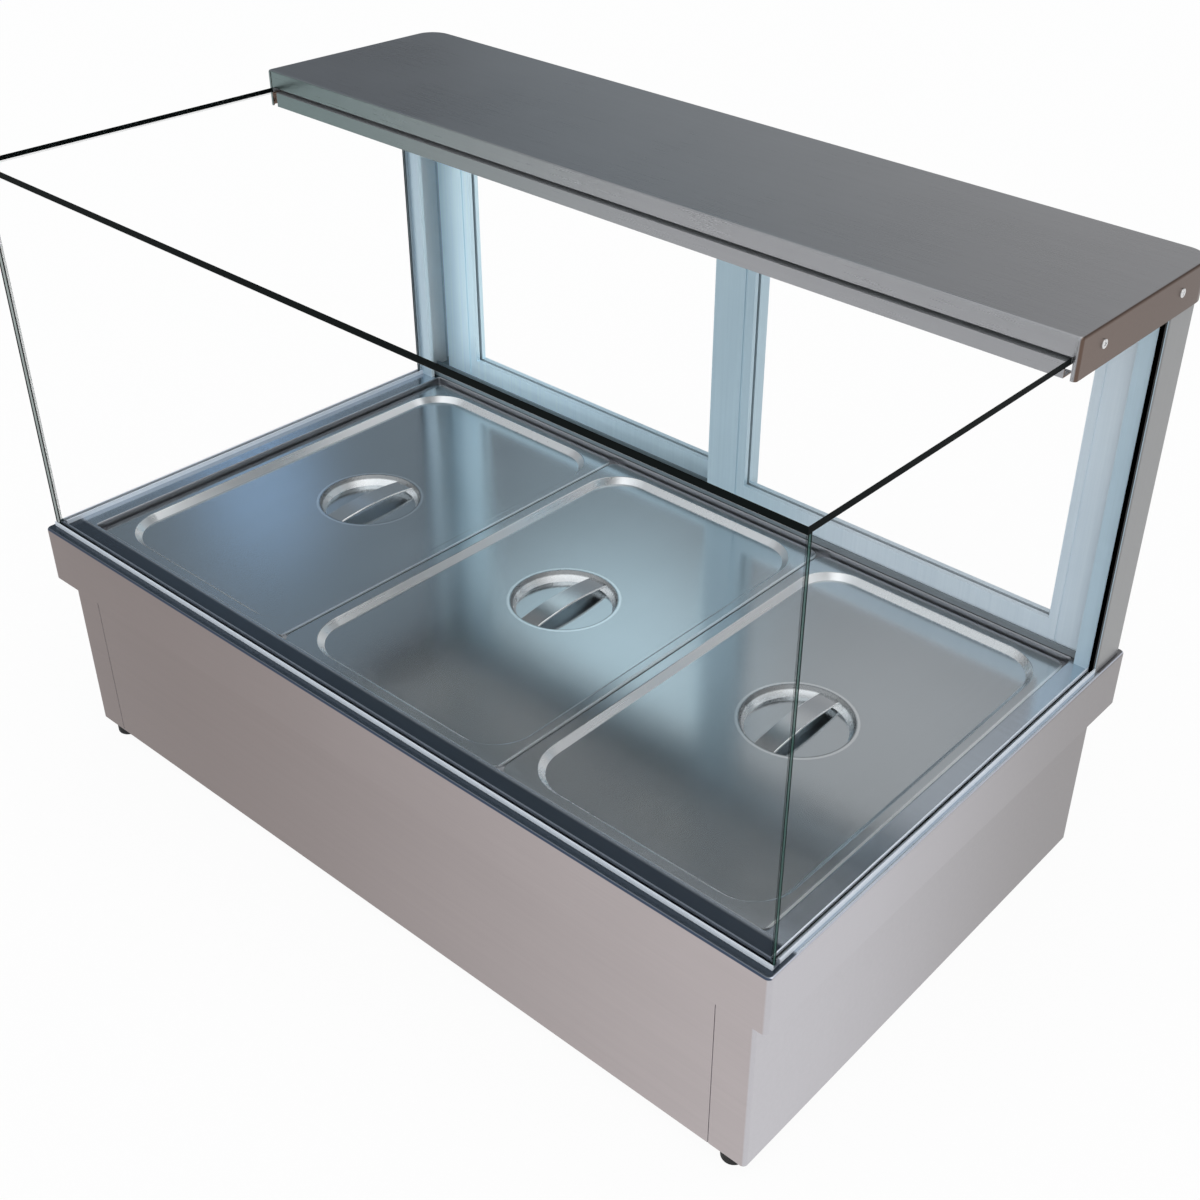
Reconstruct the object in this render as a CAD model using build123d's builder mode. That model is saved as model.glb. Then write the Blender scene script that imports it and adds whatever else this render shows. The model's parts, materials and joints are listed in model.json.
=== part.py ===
from build123d import *
import os
from math import cos, radians, sin, tan

os.makedirs("parts", exist_ok=True)

# Counter-top hot food display: a heated well with three lidded pans under square glass, a hood
# over the rear, two sliding doors behind it and the controls on the operator's side.
# Sizes in millimetres. X runs along the front, Y to the rear, Z up.
# The origin is on the counter, midway along the front and midway from front to rear.

# Folded sheet and general clearances
sheet = 1.5
fit = 0.3
screw_fit = 0.1

# Feet
foot_h = 19.0
foot_d = 26.0
foot_edge_r = 3.0
foot_side_inset = 25.0
foot_front_inset = 17.0
foot_pocket = 7.0
foot_screw_d = 5.0
foot_screw_head_d = 10.0
foot_screw_head_h = 3.5
foot_screw_tail = 6.0
foot_nut_across = 8.0
foot_nut_h = 4.0

# Deck: drop skirt all round and a recess for the pans
flange_side = 37.5
skirt_h = 68.0
skirt_r = 6.0
skirt_bend = 3.0
recess_depth = 10.0
recess_front_inset = 43.4
recess_rear_inset = 52.6
recess_gap = 3.0
recess_r = 2.5
recess_bend = 2.0
ledge_bearing = 4.0

# Cabinet panels
body_side_inset = 19.0
panel_h = 270.5
body_front_inset = 11.0
body_rear_inset = 10.0
body_corner_r = 5.0
end_return = 43.5
bottom_return = 43.0
seam_gap = 0.8
tab_w = 14.0
tab_lap = 8.0
panel_return = 20.0
panel_screw_d = 4.0
panel_screw_head_d = 8.0
panel_screw_head_h = 2.2
panel_screw_tail = 4.0
panel_screw_low = 40.0
panel_screw_high = 170.0

# Vent slots in the rear panel and the base plate
vent_l = 40.0
vent_w = 5.0
vent_pitch_x = 55.0
vent_pitch_z = 14.0
vent_columns = 4
vent_rows = 4
vent_inset = 181.0
base_vent_pitch = 30.0
base_vent_rows = 6
base_vent_inset = 261.0

# Food pans and their lids, on the standard catering size
pan_w = 325.0
pan_d = 530.0
pan_gap = 2.0
pan_depth = 65.0
pan_sheet = 1.0
pan_rim = 10.0
pan_rim_r = 14.0
pan_corner_r = 40.0
pan_taper = 5.0
pan_floor_r = 14.0
lid_sheet = 1.0
lid_rim = 12.5
lid_step = 7.0
lid_step_taper = 45.0
lid_corner_r = 50.0
lid_edge_r = 1.5
dish_d = 120.0
dish_depth = 12.0
dish_taper = 26.0
strap_w = 25.0
strap_t = 2.5
strap_rise = 1.0
strap_drop = 4.0
strap_edge_r = 1.0

# Heated well below the pans
tank_sheet = 1.0
tank_h = 96.5
tank_floor_r = 12.0
insulation_t = 20.0
insulation_h = 88.0
element_d = 8.0
element_end = 52.0
element_side = 62.5
element_passes = 6
element_bend_r = 30.0
clamp_w = 16.0
clamp_sheet = 1.0
clamp_foot = 12.0
clamp_end = 150.0
bar_w = 10.0
bar_h = 18.0

# Glass box and its channels
glass_t = 5.0
glass_h = 423.0
glass_front_inset = 11.5
glass_side_inset = 7.0
channel_wall = 1.5
channel_h = 5.0
top_glass_lap = 11.0

# Rear posts and the seals between them and the end panes
post_w = 26.0
post_bend = 2.0
post_side_inset = 5.0
post_rear_inset = 8.0
post_lip = 5.0
seal_t = 4.0

# Hood
hood_d = 259.5
hood_overhang = 8.0
hood_drop = 16.0
hood_h = 40.5
hood_rear_r = 27.0
hood_front_r = 4.0
hood_edge_r = 3.0
hood_return = 5.5
hood_lip = 12.0
fascia_setback = 0.5
fascia_lip = 16.0
hood_screw_set = (42.5, 192.5)
hood_screw_up = 22.0
hood_screw_d = 4.0
hood_screw_head_d = 9.0
hood_screw_head_h = 1.8
bracket_gap = 4.0
bracket_t = 3.5
bracket_h = 25.0

# Heat lamps in the hood
tray_set = 39.5
tray_mouth = 130.0
tray_crown = 70.0
tray_h = 26.0
tray_end_gap = 19.0
lamp_d = 12.0
lamp_end = 55.0
lamp_gap = 50.0
lamp_drop = 18.0
holder_l = 14.0
holder_w = 22.0
holder_cup = 6.0
holder_wall = 1.5
guard_wire = 3.0
guard_wires = 5
guard_ties = 9
guard_end = 20.0

# Sliding doors and their tracks
door_edge_inset = 12.0
door_t = 16.5
door_gap = 3.0
door_lap = 17.0
door_clear = 6.0
door_into_hood = 23.5
door_ajar = 16.0
stile_w = 56.5
bottom_rail = 27.0
top_rail = 30.0
door_groove_w = 3.0
door_groove_depth = 1.0
door_groove_inset = 12.0
door_glass_t = 4.0
door_rebate = 8.0
pull_l = 80.0
pull_w = 18.0
pull_depth = 8.0
glide_l = 40.0
glide_w = 10.0
glide_inset = 60.0
track_set = 9.5
track_rear_gap = 1.0
track_end_gap = 4.5
track_base = 2.0
track_lip = 1.5
track_side_gap = 0.5
track_h = 8.0
top_track_h = 20.5

# Controls on the operator's side
control_inset = 181.0
control_up = 95.0
plate_w = 230.0
plate_h = 84.0
plate_r = 4.0
knob_x = -72.0
pilot_x = -18.0
heat_switch_x = 28.0
lamp_switch_x = 74.0
thermostat_w = 44.0
thermostat_depth = 30.0
thermostat_r = 4.0
bush_d = 10.0
bush_out = 3.0
shaft_d = 6.0
shaft_fit = 0.05
shaft_in = 20.0
shaft_out = 11.0
knob_d = 46.0
knob_base = 3.0
knob_h = 13.0
knob_gap = 0.8
knob_grip_w = 12.0
knob_edge_r = 1.2
bezel_w = 27.0
bezel_h = 35.0
bezel_t = 2.0
switch_w = 23.0
switch_h = 31.0
switch_depth = 26.0
switch_wall = 2.0
rocker_gap = 0.5
rocker_depth = 9.0
rocker_crown = 3.0
rocker_tilt = 10.0
rocker_pin_d = 3.0
rocker_pivot_in = 4.0
pilot_d = 12.0
pilot_bezel_d = 16.0
pilot_lens_h = 5.0
pilot_body_l = 18.0
gland_side = 170.0
gland_up = 60.0
gland_across = 22.0
gland_flange = 5.0
gland_dome_d = 18.0
gland_dome_l = 10.0
gland_dome_r = 2.0
gland_bore_d = 9.0
gland_tail_d = 15.0
gland_tail_l = 12.0
terminal_l = 66.0
terminal_w = 24.0
terminal_h = 18.0
terminal_ways = 4
terminal_well_d = 7.0
terminal_well_depth = 6.0
terminal_set = 70.0

# Levels and lines that the pieces share
pan_pitch = pan_w + pan_gap
pan_spots = {"left": -pan_pitch, "middle": 0.0, "right": pan_pitch}
recess_w = 3 * pan_w + 2 * pan_gap + 2 * recess_gap
recess_d = pan_d + 2 * recess_gap
flange_w = recess_w + 2 * flange_side
flange_d = recess_front_inset + recess_d + recess_rear_inset
front = -(flange_d + hood_overhang) / 2
rear = front + flange_d
flange_y = front + flange_d / 2
deck_under = foot_h + panel_h
flange_top = deck_under + sheet
ledge_top = flange_top - recess_depth
body_front = front + body_front_inset
body_rear = rear - body_rear_inset
body_w = flange_w - 2 * body_side_inset
body_d = body_rear - body_front
body_y = (body_front + body_rear) / 2
seam_x = body_w / 2 - end_return
inner_panel_w = 2 * seam_x - 2 * seam_gap
base_top = foot_h + 2 * sheet
foot_spots = [
    (sx * (body_w / 2 - foot_side_inset), body_y + sy * (body_d / 2 - foot_front_inset))
    for sx in (-1, 1)
    for sy in (-1, 1)
]
panel_screw_x = seam_x - tab_w / 2
panel_screw_levels = (foot_h + panel_screw_low, foot_h + panel_screw_high)
vent_x = body_w / 2 - vent_inset
base_vent_x = body_w / 2 - base_vent_inset

recess_y = front + recess_front_inset + recess_d / 2
ledge_w = recess_gap + ledge_bearing
well_w = recess_w - 2 * ledge_w
well_d = recess_d - 2 * ledge_w
pan_rim_top = ledge_top + fit + pan_sheet
lid_under = pan_rim_top + fit
lid_top = lid_under + lid_sheet
lid_panel_top = lid_top - lid_step

tank_under = ledge_top - tank_h
tank_w = well_w + 2 * tank_sheet
tank_d = well_d + 2 * tank_sheet
element_run = well_w - 2 * element_end
element_pitch = (well_d - 2 * element_side) / (element_passes - 1)
clamp_pitch = element_run - 2 * clamp_end

glass_foot = flange_top + channel_wall
glass_top = glass_foot + glass_h
glass_front = front + glass_front_inset
glass_half = flange_w / 2 - glass_side_inset
end_glass_front = glass_front + glass_t
pane_top = glass_top + glass_t

groove_w = door_t + 2 * track_side_gap
lane_pitch = door_t + door_gap
track_d = lane_pitch + groove_w + 2 * track_lip
post_d = track_set + track_d + track_rear_gap + sheet
post_front = rear - post_rear_inset - post_d
post_half = flange_w / 2 - post_side_inset
end_glass_rear = post_front - seal_t

hood_w = 2 * (post_half + bracket_t + sheet)
hood_rear = rear + hood_overhang
hood_front = hood_rear - hood_d
hood_y = hood_front + hood_d / 2
hood_bottom = glass_top - hood_drop
hood_top = hood_bottom + hood_h
hood_ceiling = hood_top - sheet
hood_screw_spots = [(hood_front + y, hood_bottom + hood_screw_up) for y in hood_screw_set]
bracket_front = hood_front + fascia_lip + bracket_gap
bracket_rear = hood_rear - hood_rear_r
bracket_top = hood_top - hood_edge_r
top_glass_rear = hood_front + top_glass_lap

tray_l = 2 * (post_half - post_w - tray_end_gap)
lamp_l = (tray_l - 2 * lamp_end - lamp_gap) / 2
lamp_pitch = lamp_l + lamp_gap
guard_tie_pitch = (tray_l - 2 * guard_end) / (guard_ties - 1)

track_front = post_front + track_set
track_l = 2 * (post_half - sheet - track_end_gap)
right_door_y = track_front + track_lip + track_side_gap
left_door_y = right_door_y + lane_pitch
door_bottom = flange_top + door_clear
door_head = hood_bottom + door_into_hood
door_w = post_half - door_edge_inset + door_lap

control_x = control_inset - body_w / 2
gland_x = control_x + gland_side
control_z = foot_h + control_up
plate_y = body_rear + sheet
panel_inside = body_rear - sheet


def keep(builder, name):
    """Label a finished piece and write it under its own name."""
    builder.part.label = name
    export_step(builder.part, f"parts/{name}.step")


def level(z):
    """Sketch plane at a height: local axes are X and Y."""
    return Plane.XY.offset(z)


def upright(y):
    """Sketch plane across the front: local axes are X and Z; a negative amount runs to the rear."""
    return Plane.XZ.offset(-y)


def section(x):
    """Sketch plane across the width: local axes are Y and Z."""
    return Plane.YZ.offset(x)


def patch(u0, u1, v0, v1, mode=Mode.ADD):
    """Rectangle between two pairs of lines in the sketch that is open."""
    with Locations(((u0 + u1) / 2, (v0 + v1) / 2)):
        Rectangle(abs(u1 - u0), abs(v1 - v0), mode=mode)


# Deck: one pressed sheet with a rounded skirt and a turned-down edge round the opening for the pans
with BuildPart() as deck:
    with BuildSketch(level(flange_top - skirt_h)):
        with Locations((0, flange_y)):
            RectangleRounded(flange_w, flange_d, skirt_r)
    extrude(amount=skirt_h)
    fillet(deck.faces().sort_by(Axis.Z)[-1].edges(), skirt_bend)
    with BuildSketch(level(flange_top - skirt_h)):
        with Locations((0, flange_y)):
            RectangleRounded(flange_w - 2 * sheet, flange_d - 2 * sheet, skirt_r - sheet)
    extrude(amount=skirt_h - sheet, mode=Mode.SUBTRACT)
    fillet(deck.faces().filter_by(Axis.Z).sort_by(Axis.Z)[-2].edges(), skirt_bend - sheet)
    with BuildSketch(level(ledge_top)):
        with Locations((0, recess_y)):
            RectangleRounded(recess_w + 2 * sheet, recess_d + 2 * sheet, recess_r + sheet)
    extrude(amount=recess_depth)
    with BuildSketch(level(ledge_top)):
        with Locations((0, recess_y)):
            RectangleRounded(recess_w, recess_d, recess_r)
    extrude(amount=recess_depth, mode=Mode.SUBTRACT)
    fillet(deck.faces().sort_by(Axis.Z)[-1].inner_wires()[0].edges(), recess_bend)
keep(deck, "deck")


def end_panel(name, side):
    """End of the cabinet, wrapped round both corners, with joggled tabs and a bottom return."""
    with BuildPart() as panel:
        with BuildSketch(level(foot_h)):
            with Locations((0, body_y)):
                RectangleRounded(body_w, body_d, body_corner_r)
                inner_r = body_corner_r - sheet
                RectangleRounded(body_w - 2 * sheet, body_d - 2 * sheet, inner_r, mode=Mode.SUBTRACT)
            with Locations((side * (body_w - end_return) / 2, body_y)):
                Rectangle(end_return, body_d, mode=Mode.INTERSECT)
            for tab_y in (body_front + sheet, body_rear - 2 * sheet):
                patch(side * (seam_x - tab_w), side * (seam_x + tab_lap), tab_y, tab_y + sheet)
        extrude(amount=panel_h)
        with BuildSketch(level(foot_h)):
            with Locations((0, body_y)):
                RectangleRounded(body_w, body_d, body_corner_r)
            with Locations((side * (body_w - bottom_return) / 2, body_y)):
                Rectangle(bottom_return, body_d, mode=Mode.INTERSECT)
            with Locations(foot_spots):
                Circle(foot_screw_d / 2 + screw_fit, mode=Mode.SUBTRACT)
        extrude(amount=sheet)
        with BuildSketch(upright(body_rear)):
            with Locations([(side * panel_screw_x, z) for z in panel_screw_levels]):
                Circle(panel_screw_d / 2 + screw_fit)
        extrude(amount=2 * sheet, mode=Mode.SUBTRACT)
    keep(panel, name)


end_panel("left_end_panel", -1)
end_panel("right_end_panel", 1)


def folded_panel(side):
    """Upright sheet between the two end panels, with a return along its top and its bottom."""
    face = body_front if side < 0 else body_rear
    return_w = 2 * (seam_x - tab_w - seam_gap)
    with BuildPart() as panel:
        with BuildSketch(level(foot_h)):
            patch(-inner_panel_w / 2, inner_panel_w / 2, face, face - side * sheet)
        extrude(amount=panel_h)
        with BuildSketch(level(foot_h), level(deck_under - sheet)):
            patch(-return_w / 2, return_w / 2, face, face - side * panel_return)
        extrude(amount=sheet)
    return panel


def control_openings(mode):
    """Draw the holes that the controls pass through in the open upright sketch."""
    with Locations((control_x + knob_x, control_z)):
        Circle(bush_d / 2 + screw_fit, mode=mode)
    with Locations((control_x + pilot_x, control_z)):
        Circle(pilot_d / 2 + screw_fit, mode=mode)
    for switch_x in (heat_switch_x, lamp_switch_x):
        with Locations((control_x + switch_x, control_z)):
            Rectangle(switch_w + 2 * screw_fit, switch_h + 2 * screw_fit, mode=mode)


# Front panel: plain folded sheet between the two end panels
front_panel = folded_panel(-1)
keep(front_panel, "front_panel")

# Rear panel: folded like the front one, with vent slots and openings for the controls and the gland
rear_blank = folded_panel(1)
with BuildPart() as rear_panel:
    add(rear_blank.part)
    with BuildSketch(upright(body_rear)):
        with Locations((vent_x, control_z)):
            with GridLocations(vent_pitch_x, vent_pitch_z, vent_columns, vent_rows):
                SlotOverall(vent_l, vent_w)
        control_openings(Mode.ADD)
        with Locations([(s * panel_screw_x, z) for s in (-1, 1) for z in panel_screw_levels]):
            Circle(panel_screw_d / 2 + screw_fit)
        with Locations((gland_x, foot_h + gland_up)):
            Circle(gland_tail_d / 2 + screw_fit)
    extrude(amount=sheet, mode=Mode.SUBTRACT)
keep(rear_panel, "rear_panel")

# Screws that hold the rear panel to the tabs behind it
with BuildPart() as rear_panel_screws:
    screw_spots = [(s * panel_screw_x, z) for s in (-1, 1) for z in panel_screw_levels]
    with BuildSketch(upright(body_rear)):
        with Locations(screw_spots):
            Circle(panel_screw_head_d / 2)
    extrude(amount=-panel_screw_head_h)
    fillet(rear_panel_screws.edges().group_by(Axis.Y)[-1], panel_screw_head_h / 2)
    with BuildSketch(upright(body_rear)):
        with Locations(screw_spots):
            Circle(panel_screw_d / 2)
    extrude(amount=2 * sheet + panel_screw_tail)
keep(rear_panel_screws, "rear_panel_screws")

# Base plate: lies on the bottom returns and closes the cabinet, with two banks of vent slots
with BuildPart() as base_plate:
    with BuildSketch(level(foot_h + sheet)):
        with Locations((0, body_y)):
            base_w = body_w - 2 * (sheet + fit)
            base_d = body_d - 2 * (2 * sheet + fit)
            RectangleRounded(base_w, base_d, body_corner_r - sheet)
        with Locations((-base_vent_x, body_y), (base_vent_x, body_y)):
            with GridLocations(vent_pitch_x, base_vent_pitch, vent_columns, base_vent_rows):
                SlotOverall(vent_l, vent_w, mode=Mode.SUBTRACT)
        with Locations(foot_spots):
            Circle(foot_screw_d / 2 + screw_fit, mode=Mode.SUBTRACT)
    extrude(amount=sheet)
keep(base_plate, "base_plate")

# Feet: four rubber buttons, each with a pocket for its screw head
with BuildPart() as feet:
    with BuildSketch():
        with Locations(foot_spots):
            Circle(foot_d / 2)
    extrude(amount=foot_h)
    fillet(feet.edges().group_by(Axis.Z)[0], foot_edge_r)
    with BuildSketch():
        with Locations(foot_spots):
            Circle(foot_screw_head_d / 2 + fit)
    extrude(amount=foot_pocket, mode=Mode.SUBTRACT)
    with BuildSketch():
        with Locations(foot_spots):
            Circle(foot_screw_d / 2 + screw_fit)
    extrude(amount=foot_h, mode=Mode.SUBTRACT)
keep(feet, "feet")

# Foot screws: head up in the pocket, through the return and the base plate, nut on top
with BuildPart() as foot_screws:
    with BuildSketch(level(foot_pocket - foot_screw_head_h)):
        with Locations(foot_spots):
            Circle(foot_screw_head_d / 2)
    extrude(amount=foot_screw_head_h)
    with BuildSketch(level(foot_pocket)):
        with Locations(foot_spots):
            Circle(foot_screw_d / 2)
    extrude(amount=base_top - foot_pocket + foot_screw_tail)
    with BuildSketch(level(base_top)):
        with Locations(foot_spots):
            RegularPolygon(foot_nut_across / 2, 6, major_radius=False)
    extrude(amount=foot_nut_h)
keep(foot_screws, "foot_screws")

# Well tank: a trough folded from one sheet and two end plates that close it. Their flanges are the
# ledge for the pan rims, under the deck's turned-down edge.
with BuildPart() as well_tank:
    trough_half = well_w / 2 - fit
    flange_reach = recess_d / 2 + sheet
    with BuildSketch(section(-trough_half)):
        patch(recess_y - tank_d / 2, recess_y + tank_d / 2, tank_under, ledge_top)
    extrude(amount=2 * trough_half)
    fillet(well_tank.faces().sort_by(Axis.Z)[0].edges().filter_by(Axis.X), tank_floor_r)
    trough_ends = well_tank.faces().filter_by(Axis.X)
    offset(amount=-tank_sheet, openings=[well_tank.faces().sort_by(Axis.Z)[-1], *trough_ends])
    with BuildSketch(level(ledge_top - tank_sheet)):
        for s in (-1, 1):
            patch(-trough_half, trough_half, recess_y + s * well_d / 2, recess_y + s * flange_reach)
    extrude(amount=tank_sheet)
    for s in (-1, 1):
        with BuildSketch(section(s * well_w / 2)) as end_plate:
            patch(recess_y - tank_d / 2, recess_y + tank_d / 2, tank_under, ledge_top)
            fillet(end_plate.vertices().group_by(Axis.Y)[0], tank_floor_r)
        extrude(amount=s * tank_sheet)
        with BuildSketch(level(ledge_top - tank_sheet)):
            end_x = s * well_w / 2
            patch(end_x, s * (recess_w / 2 + sheet), recess_y - flange_reach, recess_y + flange_reach)
        extrude(amount=tank_sheet)
keep(well_tank, "well_tank")

# Insulation: one board wrapped round the walls of the tank, under its flange
with BuildPart() as tank_insulation:
    with BuildSketch(level(ledge_top - tank_sheet - insulation_h)):
        with Locations((0, recess_y)):
            wrap = fit + insulation_t
            RectangleRounded(tank_w + 2 * wrap, tank_d + 2 * wrap, wrap)
            Rectangle(tank_w + 2 * fit, tank_d + 2 * fit, mode=Mode.SUBTRACT)
    extrude(amount=insulation_h)
keep(tank_insulation, "tank_insulation")

# Heating element: one tube bent to and fro under the floor of the tank
element_half = (element_passes - 1) / 2 * element_pitch
element_route = []
for i in range(element_passes):
    row_y = recess_y - element_half + i * element_pitch
    start = -element_run / 2 if i % 2 == 0 else element_run / 2
    element_route += [(start, row_y), (-start, row_y)]
with BuildPart() as heating_element:
    with BuildLine(level(tank_under - element_d / 2)) as element_path:
        FilletPolyline(*element_route, radius=element_bend_r)
    with BuildSketch(Plane(element_path.line ^ 0)):
        Circle(element_d / 2)
    sweep()
keep(heating_element, "heating_element")

# Element clamps: three hat-shaped straps that press the tube against the floor of the tank
with BuildPart() as element_clamps:
    clamp_half = element_half + element_d / 2 + clamp_foot
    for clamp_x in (-clamp_pitch / 2, 0, clamp_pitch / 2):
        with BuildSketch(section(clamp_x - clamp_w / 2)):
            clamp_low = tank_under - element_d
            patch(recess_y - clamp_half, recess_y + clamp_half, clamp_low - clamp_sheet, tank_under)
            hollow = clamp_half - clamp_sheet
            patch(recess_y - hollow, recess_y + hollow, clamp_low, tank_under, Mode.SUBTRACT)
            for s in (-1, 1):
                toe = clamp_half + clamp_foot
                patch(recess_y + s * hollow, recess_y + s * toe, tank_under - clamp_sheet, tank_under)
        extrude(amount=clamp_w)
keep(element_clamps, "element_clamps")

# Pan bars: two folded bars across the well, level with the ledge, between neighbouring pans
with BuildPart() as pan_bars:
    with BuildSketch(upright(recess_y - well_d / 2)):
        for s in (-1, 1):
            bar_x = s * pan_pitch / 2
            patch(bar_x - bar_w / 2, bar_x + bar_w / 2, ledge_top - bar_h, ledge_top)
            bar_in = bar_w / 2 - sheet
            patch(bar_x - bar_in, bar_x + bar_in, ledge_top - bar_h, ledge_top - sheet, Mode.SUBTRACT)
    extrude(amount=-well_d)
keep(pan_bars, "pan_bars")


def pressed_block(x, inset, depth, floor_r):
    """Solid with the pan's tapered walls and rounded floor, drawn in from the pan's outline."""
    with BuildPart() as block:
        with BuildSketch(level(pan_rim_top)):
            with Locations((x, recess_y)):
                corner_r = pan_corner_r + pan_rim - inset
                RectangleRounded(pan_w - 2 * inset, pan_d - 2 * inset, corner_r)
        extrude(amount=-depth, taper=pan_taper)
        fillet(block.faces().sort_by(Axis.Z)[0].edges(), floor_r)
    return block.part


def food_pan(name, x):
    """Pressed pan: flat rim, tapered walls, large corner radii and a rounded floor."""
    outside = pressed_block(x, pan_rim, pan_depth, pan_floor_r)
    inside = pressed_block(x, pan_rim + pan_sheet, pan_depth - pan_sheet, pan_floor_r - pan_sheet)
    with BuildPart() as pan:
        add(outside)
        with BuildSketch(level(pan_rim_top - pan_sheet)):
            with Locations((x, recess_y)):
                RectangleRounded(pan_w, pan_d, pan_rim_r)
        extrude(amount=pan_sheet)
        add(inside, mode=Mode.SUBTRACT)
    keep(pan, name)


def pan_lid(name, x):
    """Pressed lid: flat rim, sloped step, recessed panel and a round dish for the fingers."""
    step_wall = lid_sheet / cos(radians(lid_step_taper))
    dish_wall = lid_sheet / cos(radians(dish_taper))
    panel_w = pan_w - 2 * lid_rim
    panel_d = pan_d - 2 * lid_rim
    with BuildPart() as lid:
        with BuildSketch(level(lid_under)):
            with Locations((x, recess_y)):
                RectangleRounded(pan_w, pan_d, pan_rim_r)
        extrude(amount=lid_sheet)
        with BuildSketch(level(lid_top)):
            with Locations((x, recess_y)):
                RectangleRounded(panel_w + 2 * step_wall, panel_d + 2 * step_wall, lid_corner_r + step_wall)
        extrude(amount=-lid_step - lid_sheet, taper=lid_step_taper)
        with BuildSketch(level(lid_panel_top)):
            with Locations((x, recess_y)):
                Circle(dish_d / 2 + dish_wall)
        extrude(amount=-dish_depth - lid_sheet, taper=dish_taper)
        with BuildSketch(level(lid_top)):
            with Locations((x, recess_y)):
                RectangleRounded(panel_w, panel_d, lid_corner_r)
        extrude(amount=-lid_step, taper=lid_step_taper, mode=Mode.SUBTRACT)
        fillet(lid.faces().sort_by(Axis.Z)[-1].inner_wires()[0].edges(), lid_edge_r)
        with BuildSketch(level(lid_panel_top)):
            with Locations((x, recess_y)):
                Circle(dish_d / 2)
        extrude(amount=-dish_depth, taper=dish_taper, mode=Mode.SUBTRACT)
    keep(lid, name)


def lid_handle(name, x):
    """Arched strap across the dish, cut at both ends to the slope of the dish wall."""
    reach = dish_d / 2
    low = lid_panel_top - strap_drop
    crown = lid_panel_top + strap_rise
    with BuildPart() as strap:
        with BuildSketch(section(x - strap_w / 2)):
            with BuildLine():
                top = ThreePointArc((recess_y - reach, low), (recess_y, crown), (recess_y + reach, low))
                Line(top @ 1, (recess_y + reach, low - strap_t))
                under = crown - strap_t
                back = low - strap_t
                ThreePointArc((recess_y + reach, back), (recess_y, under), (recess_y - reach, back))
                Line((recess_y - reach, back), top @ 0)
            make_face()
        extrude(amount=strap_w)
        fillet(strap.edges().filter_by(GeomType.CIRCLE), strap_edge_r)
        with BuildSketch(level(crown)):
            with Locations((x, recess_y)):
                Circle(dish_d / 2 + strap_rise * tan(radians(dish_taper)))
        extrude(amount=-dish_depth - strap_rise, taper=dish_taper, mode=Mode.INTERSECT)
    keep(strap, name)


for spot, spot_x in pan_spots.items():
    food_pan(f"{spot}_pan", spot_x)
    pan_lid(f"{spot}_lid", spot_x)
    lid_handle(f"{spot}_lid_handle", spot_x)


def glazing_channel(name, plane, u, length):
    """Bright U-section that takes the foot of a pane, drawn across its run from a line at u."""
    with BuildPart() as channel:
        with BuildSketch(plane):
            patch(u, u + glass_t + 2 * channel_wall, flange_top, flange_top + channel_h)
            slot = u + channel_wall
            patch(slot, slot + glass_t, glass_foot, flange_top + channel_h, Mode.SUBTRACT)
        extrude(amount=length)
    keep(channel, name)


# Glazing channels: the front one runs right across, the end ones run back to the posts
channel_half = glass_half + channel_wall
channel_front = glass_front - channel_wall
end_channel_front = end_glass_front + channel_wall
end_channel_l = post_front - end_channel_front
end_channel_u = glass_half - glass_t - channel_wall
glazing_channel("front_glass_channel", section(-channel_half), channel_front, 2 * channel_half)
glazing_channel("right_glass_channel", upright(end_channel_front), end_channel_u, -end_channel_l)
glazing_channel("left_glass_channel", upright(end_channel_front), -channel_half, -end_channel_l)


# Front pane: stands in its channel and carries the front edge of the top pane
with BuildPart() as front_glass:
    with BuildSketch(upright(glass_front)):
        patch(-glass_half, glass_half, glass_foot, glass_top)
    extrude(amount=-glass_t)
keep(front_glass, "front_glass")


def end_glass(name, side):
    """End pane: butts against the back of the front pane and ends at the post seal."""
    with BuildPart() as pane:
        with BuildSketch(section(side * glass_half)):
            patch(end_glass_front, end_glass_rear, glass_foot, glass_top)
            patch(end_glass_front, end_channel_front, glass_foot, flange_top + channel_h, Mode.SUBTRACT)
        extrude(amount=-side * glass_t)
    keep(pane, name)


end_glass("left_end_glass", -1)
end_glass("right_end_glass", 1)

# Top pane: lies on the front and end panes and runs into the slot of the fascia
with BuildPart() as top_glass:
    with BuildSketch(level(glass_top)):
        patch(-glass_half, glass_half, glass_front, top_glass_rear)
    extrude(amount=glass_t)
keep(top_glass, "top_glass")

# Post seals: dark strips between the rear edge of each end pane and its post
with BuildPart() as post_seals:
    with BuildSketch(level(glass_foot)):
        for s in (-1, 1):
            patch(s * glass_half, s * (glass_half - glass_t), end_glass_rear, post_front)
    extrude(amount=glass_h)
keep(post_seals, "post_seals")


def rear_post(name, side):
    """Folded post: open towards the doors, with a stiffening lip on its front flange."""
    outer = side * post_half
    inner = side * (post_half - post_w)
    with BuildPart() as post:
        with BuildSketch(level(flange_top)) as plan:
            patch(outer, inner, post_front, post_front + post_d)
            corners = plan.vertices().group_by(Axis.X)[-1 if side > 0 else 0]
            fillet(corners, post_bend)
            hollow_rear = post_front + post_d - sheet
            patch(outer - side * sheet, inner, post_front + sheet, hollow_rear, Mode.SUBTRACT)
            patch(inner, inner + side * sheet, post_front, post_front + post_lip)
        extrude(amount=hood_ceiling - flange_top)
    keep(post, name)


rear_post("left_post", -1)
rear_post("right_post", 1)

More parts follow.
